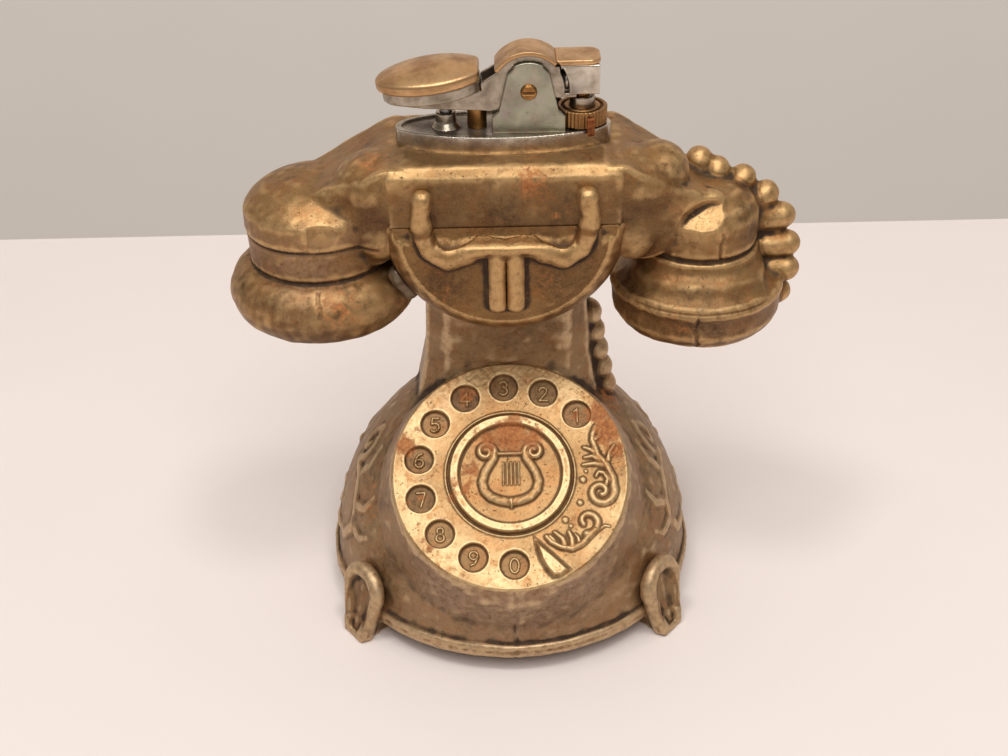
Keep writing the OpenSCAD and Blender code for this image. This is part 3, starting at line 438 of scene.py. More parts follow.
def casting(name, node, material, voxel, soften, swell, relief=None, fill=(), melt=(), crisp=None,
            press=None, **looks):
    """A cast piece: the CAD shape with softened junctions, an uneven skin and its own relief.

    Fill adds lumps of metal, melt names places that flow together, crisp says where faces stay as built,
    and press moves points at the end. Looks are the places of each mark, and the places where hollows
    get no grime, painted shade or bright edges.
    """
    mesh = voxel_mesh(name, node, voxel, fill)
    smoother = Smoother(mesh)
    built = points_of(mesh)
    points = smoother(built, soften)
    if melt:
        share = np.clip(marks(points, melt), 0, 1)[:, None]
        points = points + share * (smoother(points, MELT_ROUNDS) - points)
    calm = crisp(points) if crisp else np.zeros(len(points))
    points = points + calm[:, None] * (built - points)
    put_points(mesh, points)
    normals = normals_of(mesh)
    lift = swell * (waves(points, 9, 3) + 0.6 * waves(points, 3.2, 5)) * (1 - calm)
    if relief:
        lift = lift + relief(points, normals)
    points = points + normals * lift[:, None]
    if press:
        points = press(points)
    low, high = (np.array(corner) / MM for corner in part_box(node))
    put_points(mesh, np.clip(points, low, high))
    settle(mesh, calm=np.maximum(calm, marks(points, looks.get("clean", ()))))
    points = points_of(mesh)
    for mark in MARKS:
        tell(mesh, mark, marks(points, looks.get(mark, ())))
    return add_object(name, mesh, "telephone", material, node, node)


# Drawings in relief


def along(path):
    """The path's points as an array."""
    return np.array(path, float)


def spiral(x, y, start_r, end_r, start, end, steps=26):
    """Points on a spiral about x, y. Angles are in degrees from +X."""
    t = np.linspace(0, 1, steps)
    angle = np.radians(start + (end - start) * t)
    radius = start_r + (end_r - start_r) * t
    return np.stack([x + radius * np.cos(angle), y + radius * np.sin(angle)], 1)


# How high a line still is where it is thinnest, as a share
THIN_TOP = 0.35


def ridge(places, path, start_w, end_w, height, round_top=0.7):
    """A raised line along a path, its half-width going from start_w to end_w.

    A low round_top makes its top flatter.
    """
    path = along(path)
    found = np.zeros(len(places))
    reach = max(start_w, end_w)
    near = ((places > path.min(0) - reach) & (places < path.max(0) + reach)).all(1)
    inside = places[near]
    best = np.zeros(len(inside))
    lengths = np.linalg.norm(np.diff(path, axis=0), axis=1)
    run = np.concatenate([[0], np.cumsum(lengths)]) / lengths.sum()
    for i in range(len(path) - 1):
        leg = path[i + 1] - path[i]
        t = np.clip(((inside - path[i]) @ leg) / (leg @ leg), 0, 1)
        away = np.linalg.norm(inside - path[i] - t[:, None] * leg, axis=1)
        width = start_w + (end_w - start_w) * (run[i] + t * (run[i + 1] - run[i]))
        share = np.clip(1 - (away / np.maximum(width, 1e-6)) ** 2, 0, 1)
        best = np.maximum(best, share**round_top * np.minimum(1, width / reach + THIN_TOP))
    found[near] = best * height
    return found


def step(value, start, end):
    """0 below start, 1 above end, and smooth between them."""
    t = np.clip((value - start) / (end - start), 0, 1)
    return t * t * (3 - 2 * t)


def groove(value, middle, half_width):
    """1 at middle, and 0 away from it."""
    return np.exp(-(((value - middle) / half_width) ** 2))


def ellipse(width, height, y=0.0, steps=22):
    """Points round an oval whose middle is at height y."""
    angle = np.linspace(0, 2 * math.pi, steps)
    return [(width / 2 * math.sin(a), y + height / 2 * math.cos(a)) for a in angle]


# Each digit's strokes, in a box one high about its middle
DIGITS = {
    "1": [[(-0.2, 0.26), (0.04, 0.5), (0.04, -0.5)]],
    "2": [
        [(-0.28, 0.26), (-0.2, 0.43), (0, 0.5), (0.2, 0.43), (0.27, 0.24), (0.18, 0.02), (-0.3, -0.5),
         (0.32, -0.5)],
    ],
    "3": [
        [(-0.26, 0.38), (-0.08, 0.5), (0.12, 0.48), (0.25, 0.3), (0.16, 0.1), (-0.04, 0.04)],
        [(-0.04, 0.04), (0.2, -0.04), (0.28, -0.25), (0.14, -0.45), (-0.08, -0.5), (-0.28, -0.36)],
    ],
    "4": [[(0.12, -0.5), (0.12, 0.5), (-0.32, -0.16), (0.34, -0.16)]],
    "5": [
        [(0.26, 0.5), (-0.2, 0.5), (-0.24, 0.06), (0.02, 0.13), (0.22, 0.02), (0.28, -0.22), (0.12, -0.45)],
        [(0.12, -0.45), (-0.1, -0.5), (-0.28, -0.38)],
    ],
    "6": [[(0.2, 0.48), (-0.06, 0.38), (-0.24, 0.1), (-0.27, -0.15)], ellipse(0.56, 0.56, -0.21)],
    "7": [[(-0.3, 0.5), (0.3, 0.5), (0.0, -0.5)]],
    "8": [ellipse(0.42, 0.44, 0.27), ellipse(0.56, 0.52, -0.23)],
    "9": [[(-0.2, -0.48), (0.06, -0.38), (0.24, -0.1), (0.27, 0.15)], ellipse(0.56, 0.56, 0.21)],
    "0": [ellipse(0.6, 1.0)],
}

# The dial, in millimetres, repeated from the construction's values
DIAL_R = 25.8
DIAL_T = 2.4
DIAL_FRONT = 25
DIAL_Z = 41.8
DIAL_TILT = 36
NUMBERS = "1234567890"
WELL_R = 3.15
WELL_PITCH = 20.1
WELL_START = 48
WELL_STEP = 25.5
WELL_DEPTH = 1.15
RING_R = 13.2
RING_W = 2.0
RING_PROUD = 1.3

# The dial's finer forms, which are the scene's own
WELL_SLOPE = (-0.22, 0.1)
DIGIT_H = 3.1
DIGIT_W = 0.3
DIGIT_PROUD = 0.55
RING_SLOPE = (0.08, 0.32)
EDGE_W = 0.6
EDGE_DROP = 0.4
# Fine lines beside the ring: radius, height and half-width
RING_LINES = [
    (RING_R + 0.36, -0.45, 0.22),
    (RING_R + 0.85, 0.3, 0.3),
    (RING_R - RING_W - 0.2, -0.12, 0.22),
]
# What is lower than this above a well's depth is its floor
FLOOR_TOP = 0.25
# How dark the grime is on each well's floor, and how worn its digit
FLOOR_SOOT = 0.35
WELL_SOOT = {"4": 0.75, "7": 0.7, "2": 0.6, "3": 0.6, "1": 0.55, "6": 0.5}
WORN_DIGITS = {"1": 0.35, "7": 0.45, "8": 0.4, "9": 0.4, "0": 0.45}


def well_centres():
    """Each digit with the middle of its finger well."""
    for i, digit in enumerate(NUMBERS):
        angle = math.radians(WELL_START - WELL_STEP * i)
        yield digit, np.array([math.sin(angle), math.cos(angle)]) * WELL_PITCH


def dial_relief(places):
    """Height above the dial's plane at each place."""
    radius = np.hypot(*places.T)
    height = np.zeros(len(places))
    for digit, centre in well_centres():
        away = np.linalg.norm(places - centre, axis=1)
        height -= WELL_DEPTH * (1 - step(away - WELL_R, *WELL_SLOPE))
        proud = DIGIT_PROUD * (1 - WORN_DIGITS.get(digit, 0))
        for stroke in DIGITS[digit]:
            height += ridge(places, centre + along(stroke) * DIGIT_H, DIGIT_W, DIGIT_W, proud)
    middle = RING_R - RING_W / 2
    height += RING_PROUD * step(RING_W / 2 + RING_SLOPE[0] - abs(radius - middle), 0, RING_SLOPE[1])
    for line_r, tall, half_width in RING_LINES:
        height += tall * groove(radius, line_r, half_width)
    height = height + lyre_relief(places) + strokes(places, SCROLLS) + stop_relief(places)
    return height - EDGE_DROP * step(radius, DIAL_R - EDGE_W, DIAL_R) ** 2


def well_soot(places, height):
    """The grime on the floors of the finger wells, rubbed off their digits."""
    found = np.zeros(len(places))
    floor = height < FLOOR_TOP - WELL_DEPTH
    for digit, centre in well_centres():
        away = np.linalg.norm(places - centre, axis=1)
        found = np.maximum(found, floor * (away < WELL_R) * WELL_SOOT.get(digit, FLOOR_SOOT))
    return found


def strokes(places, lines, mirror=1):
    """The highest of several ridges, each a path, its first and last half-width, and its height.

    A fifth value says how round its top is.
    """
    height = np.zeros(len(places))
    for path, *sizes in lines:
        height = np.maximum(height, ridge(places, along(path) * (mirror, 1), *sizes))
    return height


LYRE_ARM = [(3.3, 4.8), (3.5, 3.6), (4.3, 2.3), (5.5, 0.3), (6.1, -1.9), (5.6, -3.9), (4.2, -5.3),
            (2.4, -6.0), (0.4, -6.4)]
# The lyre's strokes: those on both sides, then the crossbar, the foot and the strings
LYRE_SIDE = [
    (LYRE_ARM, 0.95, 1.1, 0.85, 0.4),
    (spiral(5.2, 4.9, 1.95, 0.5, 180, -290), 0.85, 0.75, 0.9, 0.6),
]
LYRE_MIDDLE = [
    ([(-3.2, 4.5), (3.2, 4.5)], 0.45, 0.45, 0.65),
    ([(0.1, -6.1), (0.2, -7.9)], 0.95, 0.2, 1.0),
] + [([(x, 2.6), (x, -2.6)], 0.18, 0.18, 0.4) for x in (-1.5, -0.65, 0.2, 1.05, 1.9)]


def lyre_relief(places):
    """A lyre: two arms that curl outwards over a pointed bowl, a crossbar and its strings."""
    sides = np.maximum(strokes(places, LYRE_SIDE, -1), strokes(places, LYRE_SIDE))
    return np.maximum(sides, strokes(places, LYRE_MIDDLE))


# The leafy scrollwork down the dial's right side, fuller, lower and flatter than its drawing
SCROLL_FULLER = 1.35
SCROLL_LOWER = 0.72
SCROLL_ROUND = 0.5
SCROLL_DRAWING = [
    ([(18.9, 10.2), (18.2, 8.6), (18.1, 7.2), (19.1, 3.9), (20.9, 1.6), (22.2, -1.4), (22.4, -4.0)],
     0.5, 0.75, 1.0),
    (spiral(19.5, -4.5, 3.0, 0.6, 10, -440), 0.75, 0.5, 1.05),
    ([(20.6, -3.0), (21.1, -1.7), (20.3, -0.3), (19.1, 0.0), (18.6, -1.0)], 0.5, 0.35, 0.85),
    ([(18.9, 10.4), (19.9, 9.6), (19.6, 8.2), (18.3, 7.0)], 0.45, 0.4, 0.85),
    ([(19.1, 3.9), (17.7, 5.0), (16.1, 5.6)], 0.6, 0.3, 0.85),
    ([(19.8, 2.6), (18.0, 3.5), (16.2, 3.3)], 0.6, 0.3, 0.85),
    ([(20.6, 1.4), (18.4, 1.9), (15.8, 1.6)], 0.6, 0.3, 0.8),
    ([(21.3, 2.6), (21.7, 4.4), (22.8, 6.0)], 0.5, 0.3, 0.75),
    ([(21.9, 3.6), (23.0, 4.4), (23.4, 5.4)], 0.4, 0.25, 0.6),
    (spiral(16.3, -11.1, 1.0, 2.7, 215, -95), 0.5, 0.7, 1.05),
    ([(17.1, -13.7), (15.0, -15.9), (12.9, -16.9), (10.5, -16.5), (8.4, -15.4), (7.4, -14.2)], 0.7, 0.4, 1.0),
    ([(12.9, -16.4), (12.9, -14.8), (12.2, -13.2)], 0.6, 0.35, 0.85),
    ([(11.3, -16.3), (10.9, -14.8), (9.2, -13.3)], 0.6, 0.35, 0.85),
    ([(9.4, -15.8), (8.8, -14.8), (8.2, -14.1)], 0.5, 0.3, 0.8),
    ([(14.4, -15.8), (14.2, -14.6), (13.6, -13.8)], 0.5, 0.25, 0.7),
    ([(18.6, -13.0), (20.0, -12.0), (21.0, -12.2)], 0.35, 0.25, 0.4),
    ([(14.9, -6.8), (14.95, -6.85)], 0.55, 0.55, 0.6),
    ([(15.7, -1.7), (15.75, -1.75)], 0.6, 0.6, 0.6),
    ([(16.4, 0.2), (16.45, 0.15)], 0.35, 0.35, 0.4),
    ([(11.6, -10.6), (11.65, -10.65)], 0.6, 0.6, 0.5),
    ([(12.7, -11.9), (12.75, -11.95)], 0.4, 0.4, 0.4),
]
SCROLLS = [
    (path, start_w * SCROLL_FULLER, end_w * SCROLL_FULLER, tall * SCROLL_LOWER, SCROLL_ROUND)
    for path, start_w, end_w, tall in SCROLL_DRAWING
]
STOP_CORNERS = [(5.2, -15.0), (5.5, -17.2), (6.2, -19.4), (7.3, -21.4), (8.6, -22.9), (10.4, -22.8),
                (12.0, -21.4), (9.0, -18.4)]
STOP_PROUD = 1.2
STOP_SLOPE = (-0.1, 0.6)


def stop_relief(places):
    """The finger stop: a flat wedge with a groove round it."""
    corners = along(STOP_CORNERS)
    inside = np.full(len(places), np.inf)
    for a, b in zip(corners, np.roll(corners, -1, axis=0)):
        across = np.array([a[1] - b[1], b[0] - a[0]]) / np.linalg.norm(b - a)
        inside = np.minimum(inside, (places - a) @ across)
    return STOP_PROUD * step(inside, *STOP_SLOPE) - 0.2 * groove(inside, -0.3, 0.2)


# Orange rust on the dial: across, up, size and strength
DIAL_RUST = [
    (0.5, 8.8, 4.6, 1.0), (-4.5, 7.6, 3.2, 0.8), (4.8, 7.8, 3.4, 0.75), (-8.2, 1.0, 2.6, 0.7),
    (-9.6, -3.4, 2.4, 0.6), (21.6, 9.4, 3.6, 1.0), (19.6, 13.4, 3.4, 0.9), (23.2, 4.6, 2.6, 0.8),
    (-22.8, 6.9, 3.0, 0.85), (-20.2, 10.6, 1.8, 0.5), (-9.3, 18.4, 2.6, 0.7), (14.9, 13.6, 2.2, 0.6),
    (-22.5, -6.0, 2.6, 0.45), (-12.6, -5.0, 2.0, 0.6), (1.4, 12.3, 1.8, 0.8), (-12.2, -2.0, 1.8, 0.6),
    (-17.6, -15.6, 2.6, 0.5), (8.6, 23.4, 2.2, 0.4), (-19.4, -4.4, 1.6, 0.5), (7.5, -1.8, 2.4, 0.4),
    (4.0, 21.8, 2.2, 0.5), (-3.4, 16.6, 2.0, 0.4), (0.0, -12.6, 1.8, 0.35), (11.6, 4.6, 1.6, 0.3),
]
# Where its gilt is worn pale, and grey, in the same way
DIAL_PALE = [
    (-19, 12, 7, 0.9), (-12, 20.5, 6, 0.8), (0, 24, 6, 0.6), (12, 19, 6, 0.7), (17, 12, 4, 0.6),
    (-23, -2, 5, 0.8), (-20, -10, 6, 0.8), (-14, -19, 7, 1.0), (-3, -24, 7, 1.0), (7, -22, 5, 0.9),
    (23, -8, 5, 0.7), (19, -16, 5, 0.6),
]
DIAL_GREY = [(-14, 16, 3, 0.3)]
# The dial's sheet: points along each side, the size and depth of its unevenness
SHEET_STEPS = 380
SHEET_FORMS = 1.4
SHEET_SWELL = 0.02
# The dial's outer wall and underside, ring by ring: share of its radius, and height
DIAL_STEP = 0.955
DIAL_WALL = [(1.0, -0.75), (1.0, 1.4 - DIAL_T), (DIAL_STEP, 1.4 - DIAL_T), (DIAL_STEP, -DIAL_T)]


def flat_marks(places, spots):
    """marks on the dial's plane, each spot (across, up, size, strength)."""
    plane = np.column_stack([places, np.zeros(len(places))]) + AXIS
    return marks(plane, [(x, y, 0, size, strength) for x, y, size, strength in spots])


def make_dial():
    """A dense round sheet with the dial's relief, closed by a rim and an underside."""
    side = np.linspace(-1, 1, SHEET_STEPS)
    u, v = [grid.ravel() for grid in np.meshgrid(side, side)]
    flat = np.stack([u * np.sqrt(1 - v * v / 2), v * np.sqrt(1 - u * u / 2)], 1) * DIAL_R
    uneven = SHEET_SWELL * waves(np.column_stack([flat, flat[:, 0] * 0]), SHEET_FORMS, 4)
    rings = [np.column_stack([flat, dial_relief(flat) + uneven])]
    index = np.arange(SHEET_STEPS**2).reshape(SHEET_STEPS, SHEET_STEPS)
    quads = np.stack([index[:-1, :-1], index[:-1, 1:], index[1:, 1:], index[1:, :-1]], -1)
    faces = quads.reshape(-1, 4).tolist()
    loop = np.concatenate([index[0, :-1], index[:-1, -1], index[-1, :0:-1], index[:0:-1, 0]])
    last = loop.tolist()
    count = len(loop)
    for i, (shrink, z) in enumerate(DIAL_WALL):
        rings.append(np.column_stack([flat[loop] * shrink, np.full(count, z)]))
        start = SHEET_STEPS**2 + i * count
        new = list(range(start, start + count))
        faces += [[last[k], new[k], new[(k + 1) % count], last[(k + 1) % count]] for k in range(count)]
        last = new
    faces.append(last)
    local = np.concatenate(rings)
    turn = np.array(Matrix.Rotation(math.radians(DIAL_TILT), 3, "X"))
    world = local @ turn.T + (0, -DIAL_FRONT, DIAL_Z) + AXIS
    mesh = bpy.data.meshes.new("dial")
    mesh.from_pydata((world * MM).tolist(), [], faces)
    mesh.update()
    flip = bmesh.new()
    flip.from_mesh(mesh)
    bmesh.ops.recalc_face_normals(flip, faces=flip.faces)
    flip.to_mesh(mesh)
    flip.free()
    settle(mesh, 16)
    plane, height = local[:, :2], local[:, 2]
    radius = np.hypot(*plane.T)
    ring = 0.95 * np.exp(-(((radius - RING_R + RING_W / 2) / (RING_W * 0.55)) ** 4))
    wedge = (stop_relief(plane) > 1.0) * 1.0
    flat_top = (height > -0.3) * flat_marks(plane, DIAL_PALE)
    tell(mesh, "rust", flat_marks(plane, DIAL_RUST))
    tell(mesh, "grey", flat_marks(plane, DIAL_GREY))
    tell(mesh, "pale", np.maximum.reduce([ring, wedge, flat_top]))
    tell(mesh, "soot", well_soot(plane, height))
    return add_object("dial", mesh, "telephone", "dial", "dial_plate", "dial_plate", "lyre_medallion")


# The castings, in millimetres, repeated from the construction's values
BELL_R = 41.8
RIM_TOP = 7.8
FOOT_ANGLES = (39, 141, 219, 321)
FOOT_OUT = 47.5
EAR_X = -39.6
EAR_UNDER = 69.8
MOUTH_X = 41.5
MOUTH_UNDER = 67.5
GRIP_FRONT = -15.5
GRIP_UNDER = 96.5
CRADLE_FRONT = -17
FORK_X = 16.9


def seam(points, normals, x, low, high, width=0.2, front=-0.3):
    """A thin vertical crack at x on what faces the front, between two heights, with a slight waver."""
    px, _, pz = (points - AXIS).T
    waver = 0.25 * np.sin(pz * 0.9 + x) + 0.15 * np.sin(pz * 2.3)
    return groove(px, x + waver, width) * (normals[:, 1] < front) * (pz > low) * (pz < high)


SEAM_DEPTH = 0.22
GAP_DEPTH = 0.5
# The bell's scrolls on one side: path along its round and up, first and last half-width, and height
BELL_SCROLLS = [
    (spiral(4, 36, 4.5, 1.2, -90, 330), 1.3, 0.9, 0.55),
    ([(4, 31.5), (10, 30), (15, 25), (16, 20), (12, 15.5), (5, 14)], 1.3, 1.5, 0.55),
    (spiral(0, 19, 5.2, 1.2, -50, -470), 1.5, 0.9, 0.55),
    ([(15, 25), (20, 27), (22, 31)], 1.6, 0.5, 0.5),
    ([(16, 21), (21, 20), (24, 22)], 1.6, 0.5, 0.5),
    ([(10, 30), (13, 34), (12, 38)], 1.6, 0.5, 0.5),
    ([(-8, 30), (-13, 26), (-15, 19)], 1.3, 0.6, 0.45),
    (spiral(-14, 32, 4.2, 1.0, -100, -450), 1.2, 0.8, 0.45),
]
# The length of one degree along the bell's round
MM_PER_DEGREE = 0.72


def bell_relief(points, normals):
    """The bell's low scrolls on either side, the gap above its rim and the casting seam down the front."""
    x, y, z = (points - AXIS).T
    lift = -SEAM_DEPTH * seam(points, normals, 0.6, 4, 34)
    radius = np.hypot(x, y)
    fade = np.clip(0.75 + 0.35 * waves(points, 8, 11), 0.15, 1.1)
    gap = groove(z, RIM_TOP + 0.1, 0.45) * (radius > BELL_R - 3) * (normals[:, 2] < 0.9)
    lift -= GAP_DEPTH * gap * np.clip(0.6 + 0.5 * waves(points, 9, 12), 0.15, 1)
    for side in (-1, 1):
        angle = np.degrees(np.arctan2(-y, side * x))
        on_side = step(side * x, 12, 18) * step(z, 10, 13) * step(radius, 16, 22)
        lift += strokes(np.column_stack([angle * MM_PER_DEGREE, z]), BELL_SCROLLS) * on_side * fade
    return lift


# The leaf on each foot: its dish and toe, each by half-width, middle and half-height, and its depths
FOOT_DISH = (4.6, 8.5, 7.5)
FOOT_TOE = (5.5, 1.5, 4)
FLUTE_W = 2.2
FLUTE_DEPTH = 0.14
DISH_DEPTH = 0.4
TOE_PROUD = 0.5


def oval(across, up, half_w, middle, half_h):
    """1 in the middle of an oval, 0 on its edge and less outside it."""
    return 1 - (across / half_w) ** 2 - ((up - middle) / half_h) ** 2


def feet_relief(points, normals):
    """A dished and faintly fluted leaf on each foot's outward face, inside its rolled edge."""
    x, y, z = (points - AXIS).T
    lift = np.zeros(len(points))
    rough = 0.16 * waves(points, 5, 31)
    for angle in np.radians(FOOT_ANGLES):
        cos, sin = math.cos(angle), math.sin(angle)
        out = x * cos + y * sin
        side = y * cos - x * sin
        on_face = step(normals[:, 0] * cos + normals[:, 1] * sin, 0.5, 0.8) * (out > 30)
        dish = step(oval(side, z, *FOOT_DISH), 0, 0.45)
        toe = step(oval(side, z, *FOOT_TOE), 0, 0.6)
        flutes = FLUTE_DEPTH * np.cos(2 * math.pi * side / (FLUTE_W + 0.1 * z)) * dish
        lift += on_face * (flutes + dish * (rough - DISH_DEPTH) + TOE_PROUD * toe)
    return lift


def planed(points, normals, across, at, level, most):
    """How far the skin goes down to a flat facet that faces along across, level from the place at.

    What stands more than most above the facet is left standing.
    """
    across = np.array(across, float) / np.linalg.norm(across)
    over = (points - AXIS - np.array(at, float)) @ across - level
    facing = normals @ across
    down = np.maximum(over, 0) / np.maximum(facing, 0.35)
    return -down * (1 - step(down, 0.7 * most, 1.6 * most)) * step(facing, 0.35, 0.7)


# Fine lines round the cups: height above the cup's underside, depth and half-width
EAR_LINES = [(21.2, 0.38, 0.35), (14.2, 0.26, 0.33)]
MOUTH_LINES = [(18, 0.5, 0.4), (9.2, 0.35, 0.3)]
# The lines fade this far from a cup's axis along x
LINES_END = 14.5
# The mouthpiece's flare: height above its underside, half-width and fullness
FLARE_UP = 12.6
FLARE_W = 2.6
FLARE = 1.5
# Cracks: x, lowest and highest place, half-width and depth
CRACKS = [(44.6, 85, 92, 0.16, 0.35), (39.6, 67, 76, 0.2, 0.4), (-38.6, 78.5, 83, 0.16, 0.3)]
PITS = [(-33, -12.5, 100.5, 2.2, 1), (32.5, -13, 98.5, 1.8, 0.8)]
PIT_DEPTH = 0.5
EAR_FLAT_WAY = (0.12, -1, 0.12)


def cup_lines(z, under, lines):
    """How deep the fine lines round a cup are at each height."""
    return sum(depth * groove(z, under + up, half_width) for up, depth, half_width in lines)


def handset_relief(points, normals):
    """The fine lines round both cups, the mouthpiece's full flare, a worn flat, cracks and pits."""
    x, y, z = (points - AXIS).T
    upright = abs(normals[:, 2]) < 0.75
    ear = upright * step(EAR_X + LINES_END - x, 0, 3) * (np.hypot(x - EAR_X, y) > 12)
    lift = -ear * cup_lines(z, EAR_UNDER, EAR_LINES)
    from_mouth = np.hypot(x - MOUTH_X, y)
    mouth = step(x, 25, 30) * (from_mouth > 9) * (from_mouth < 19.5)
    mouth = mouth * step(MOUTH_X + LINES_END - x, 0, 3)
    lift += FLARE * mouth * groove(z, MOUTH_UNDER + FLARE_UP, FLARE_W)
    lift -= mouth * cup_lines(z, MOUTH_UNDER, MOUTH_LINES)
    ear_flat = step(1 - ((x - EAR_X - 4) / 5) ** 2, 0, 0.3) * (z > EAR_UNDER + 21.6) * (z < 97.5) * (y < 0)
    lift += ear_flat * planed(points, normals, EAR_FLAT_WAY, at=(EAR_X, 0, 93.5), level=15, most=0.5)
    for crack_x, low, high, half_width, depth in CRACKS:
        lift -= depth * seam(points, normals, crack_x, low, high, half_width)
    return lift - PIT_DEPTH * marks(points, PITS)


# The mouthpiece's worn flat: the way it faces, how far it lies from a place on the cup's axis, and
# its oval's place along x, half-width, middle and half-height
WORN_WAY = (-0.1, -0.75, 0.66)
WORN_OUT = 12.3
WORN_FROM = (MOUTH_X, 0, 88)
WORN_X = 41.8
WORN_OVAL = (6, 94.3, 4.4)


def worn_flat(points):
    """Cuts the mouthpiece's worn flat straight through its cap and the end of the arm."""
    x, y, z = (points - AXIS).T
    across = np.array(WORN_WAY) / np.linalg.norm(WORN_WAY)
    over = (points - AXIS - WORN_FROM) @ across - WORN_OUT
    within = step(oval(x - WORN_X, z, *WORN_OVAL), -0.15, 0.35) * (y < -3)
    return points - (within * np.maximum(over, 0))[:, None] * across


def joint_line(points):
    """Where the handset lies on the cradle and their faces meet without a visible step."""
    x, _, z = (points - AXIS).T
    return groove(z, GRIP_UNDER, 1.2) * (abs(x) < 23.2)


# The field inside the bowl's rim: how deep it sinks, where it begins and how wide its slope is
FIELD_DEPTH = 0.75
FIELD_R = 24.5
FIELD_SLOPE = 6.5
ROD_SWELL = 0.35


def cradle_relief(points, normals):
    """A field that sinks inside the bowl's rounded rim, and fuller fork rods."""
    x, y, z = (points - AXIS).T
    inside = FIELD_R - np.hypot(x, z - GRIP_UNDER)
    field = FIELD_DEPTH * step(inside, 0, FIELD_SLOPE) * step(-normals[:, 1], 0.6, 0.95)
    rods = (y < CRADLE_FRONT - 0.5) | (z > GRIP_UNDER + 0.4)
    return np.where(rods, ROD_SWELL, -field * (y < CRADLE_FRONT + 0.6))


# The fuller places of the fork's bar, from its middle and from the ground
FORK_BAR = [(1.4, 92.3), (5.0, 92.8), (8.4, 91.4), (10.6, 90.7)]
BAR_HALF = (2.8, 1.5, 2.1)
# The bend from the bar into a prong: its middle, its radii and its metal
BEND_X, BEND_Z = 11, 98
BEND_WIDE, BEND_HIGH = 5.8, 7.4
BEND_HALF = (1.9, 1.5, 1.9)
# Where the bar's upper edge ends, across and up
BAR_END = (13, 94.6)


def fork_metal():
    """Metal that makes the fork's bar fuller and turns its prongs into it in a smooth bend."""
    found = [(x, CRADLE_FRONT, z, *BAR_HALF) for x, z in FORK_BAR]
    for angle in np.radians(np.linspace(270, 360, 9)):
        x, z = BEND_X + BEND_WIDE * np.cos(angle), BEND_Z + BEND_HIGH * np.sin(angle)
        found.append((x, CRADLE_FRONT, z, *BEND_HALF))
    return [(side * x, *rest) for side in (-1, 1) for x, *rest in found]


def level_top(points):
    """Brings the cradle's front level with the grip's above the fork's bar and beside its prongs."""
    x, y, z = (points - AXIS).T
    high = step(z, GRIP_UNDER - 3.2, GRIP_UNDER - 1.4) * step(abs(abs(x) - FORK_X), 2.0, 2.8)
    bar_x, bar_z = np.array(FORK_BAR).T
    over_bar = z - np.interp(abs(x), [*bar_x, BAR_END[0]], [*(bar_z + BAR_HALF[2]), BAR_END[1]])
    high = np.maximum(high, step(over_bar, 0.3, 1.1) * step(14.8 - abs(x), 0, 0.8))
    moved = points.copy()
    moved[:, 1] += high * np.maximum(GRIP_FRONT - y, 0)
    return moved


# The cast cord's beads, from the mouthpiece's axis and underside
BEADS = [(0, 6, 33.5), (3.7, 5, 31.6), (9.3, 4, 30.1), (14.3, 3, 26.8), (18.1, 2, 21.8),
         (19.6, 1, 15.7), (19.7, 0, 10.1), (18.3, 0.4, 4.3)]
KNUCKLE_HALF = (3.15, 3.2, 3.0)
KNUCKLE_REACH = (0.6, 2.0, 3.4, 4.8)


def knuckles():
    """Metal that runs from each bead into the cup, so that the beads stand as knuckles on it."""
    found = []
    for x, y, z in BEADS:
        aim = (2.0, 0, 15.0 if z > 25 else z - 0.5)
        inward = np.array(aim) - (x, y, z)
        inward = inward / np.linalg.norm(inward)
        for reach in KNUCKLE_REACH:
            at = (MOUTH_X, 0, MOUTH_UNDER) + inward * reach + (x, y, z)
            found.append((*at, *KNUCKLE_HALF))
    return found


# Metal that fills the handset's shoulders, then the corners under them and beside the worn flat
SHOULDERS = [(-26, -5.6, 102.6, 9, 9.8, 6.3), (26, -5.6, 102.6, 9, 9.8, 6.3), (31.5, -4, 103.6, 6.5, 8, 5.6)]
CORNERS = [(-25.5, -8, 93.5, 6, 7, 7), (26, -8, 92.5, 6, 7, 7),
           (39.5, -8.6, 95, 3.6, 3.2, 3.2), (42.5, -6.8, 97.4, 3.2, 3, 2.6)]

# Each place of a melt or mark is (x, y, z, size, strength) from the bell's axis. After the material
# come the voxel's size, the rounds of smoothing and the skin's unevenness.
make_dial()
casting("bell", "base_casting", "bell", 0.5, 7, 0.07, bell_relief,
        melt=[(side * 11, -5, z, 5, 1) for side in (-1, 1) for z in (60, 66, 72, 77)],
        rust=[(0, -46, 34, 3, 0.8), (34, -10, 38, 6, 0.5), (-33, -18, 30, 7, 0.45), (24, -2, 46, 6, 0.6)],
        # The darker mark high on the front, under the cradle, is painted shade
        soot=[(0, -16, 68, 12, 0.22)],
        grey=[(-14, -44, 22, 13, 0.95), (16, -44, 24, 13, 0.95), (0, -46, 20, 14, 0.95),
              (0, -20, 60, 10, 0.3)])
casting("feet", "scroll_feet", "bell", 0.3, 6, 0.06, feet_relief,
        # The darker mark low on each foot's outer face is painted shade
        soot=[(FOOT_OUT * math.cos(a), FOOT_OUT * math.sin(a), 8, 4.5, 0.4) for a in np.radians(FOOT_ANGLES)])
casting("cradle", "cradle_casting", "casting", 0.36, 8, 0.06, cradle_relief,
        fill=fork_metal(), crisp=joint_line, press=level_top,
        # Along the top of the fork's bar, hollows get no grime, painted shade or bright edges
        clean=[(x, -15.5, 95, 4.5, 1) for x in (-12, -8, -4, 0, 4, 8, 12)],
        # The darker marks low on the cradle's front, under the fork's bar, are painted shade
        soot=[(-12, -15, 84, 6, 0.2), (12, -15, 84, 6, 0.25)],
        rust=[(8, -18, 84, 5, 0.5), (-12, -18, 80, 5, 0.4)])
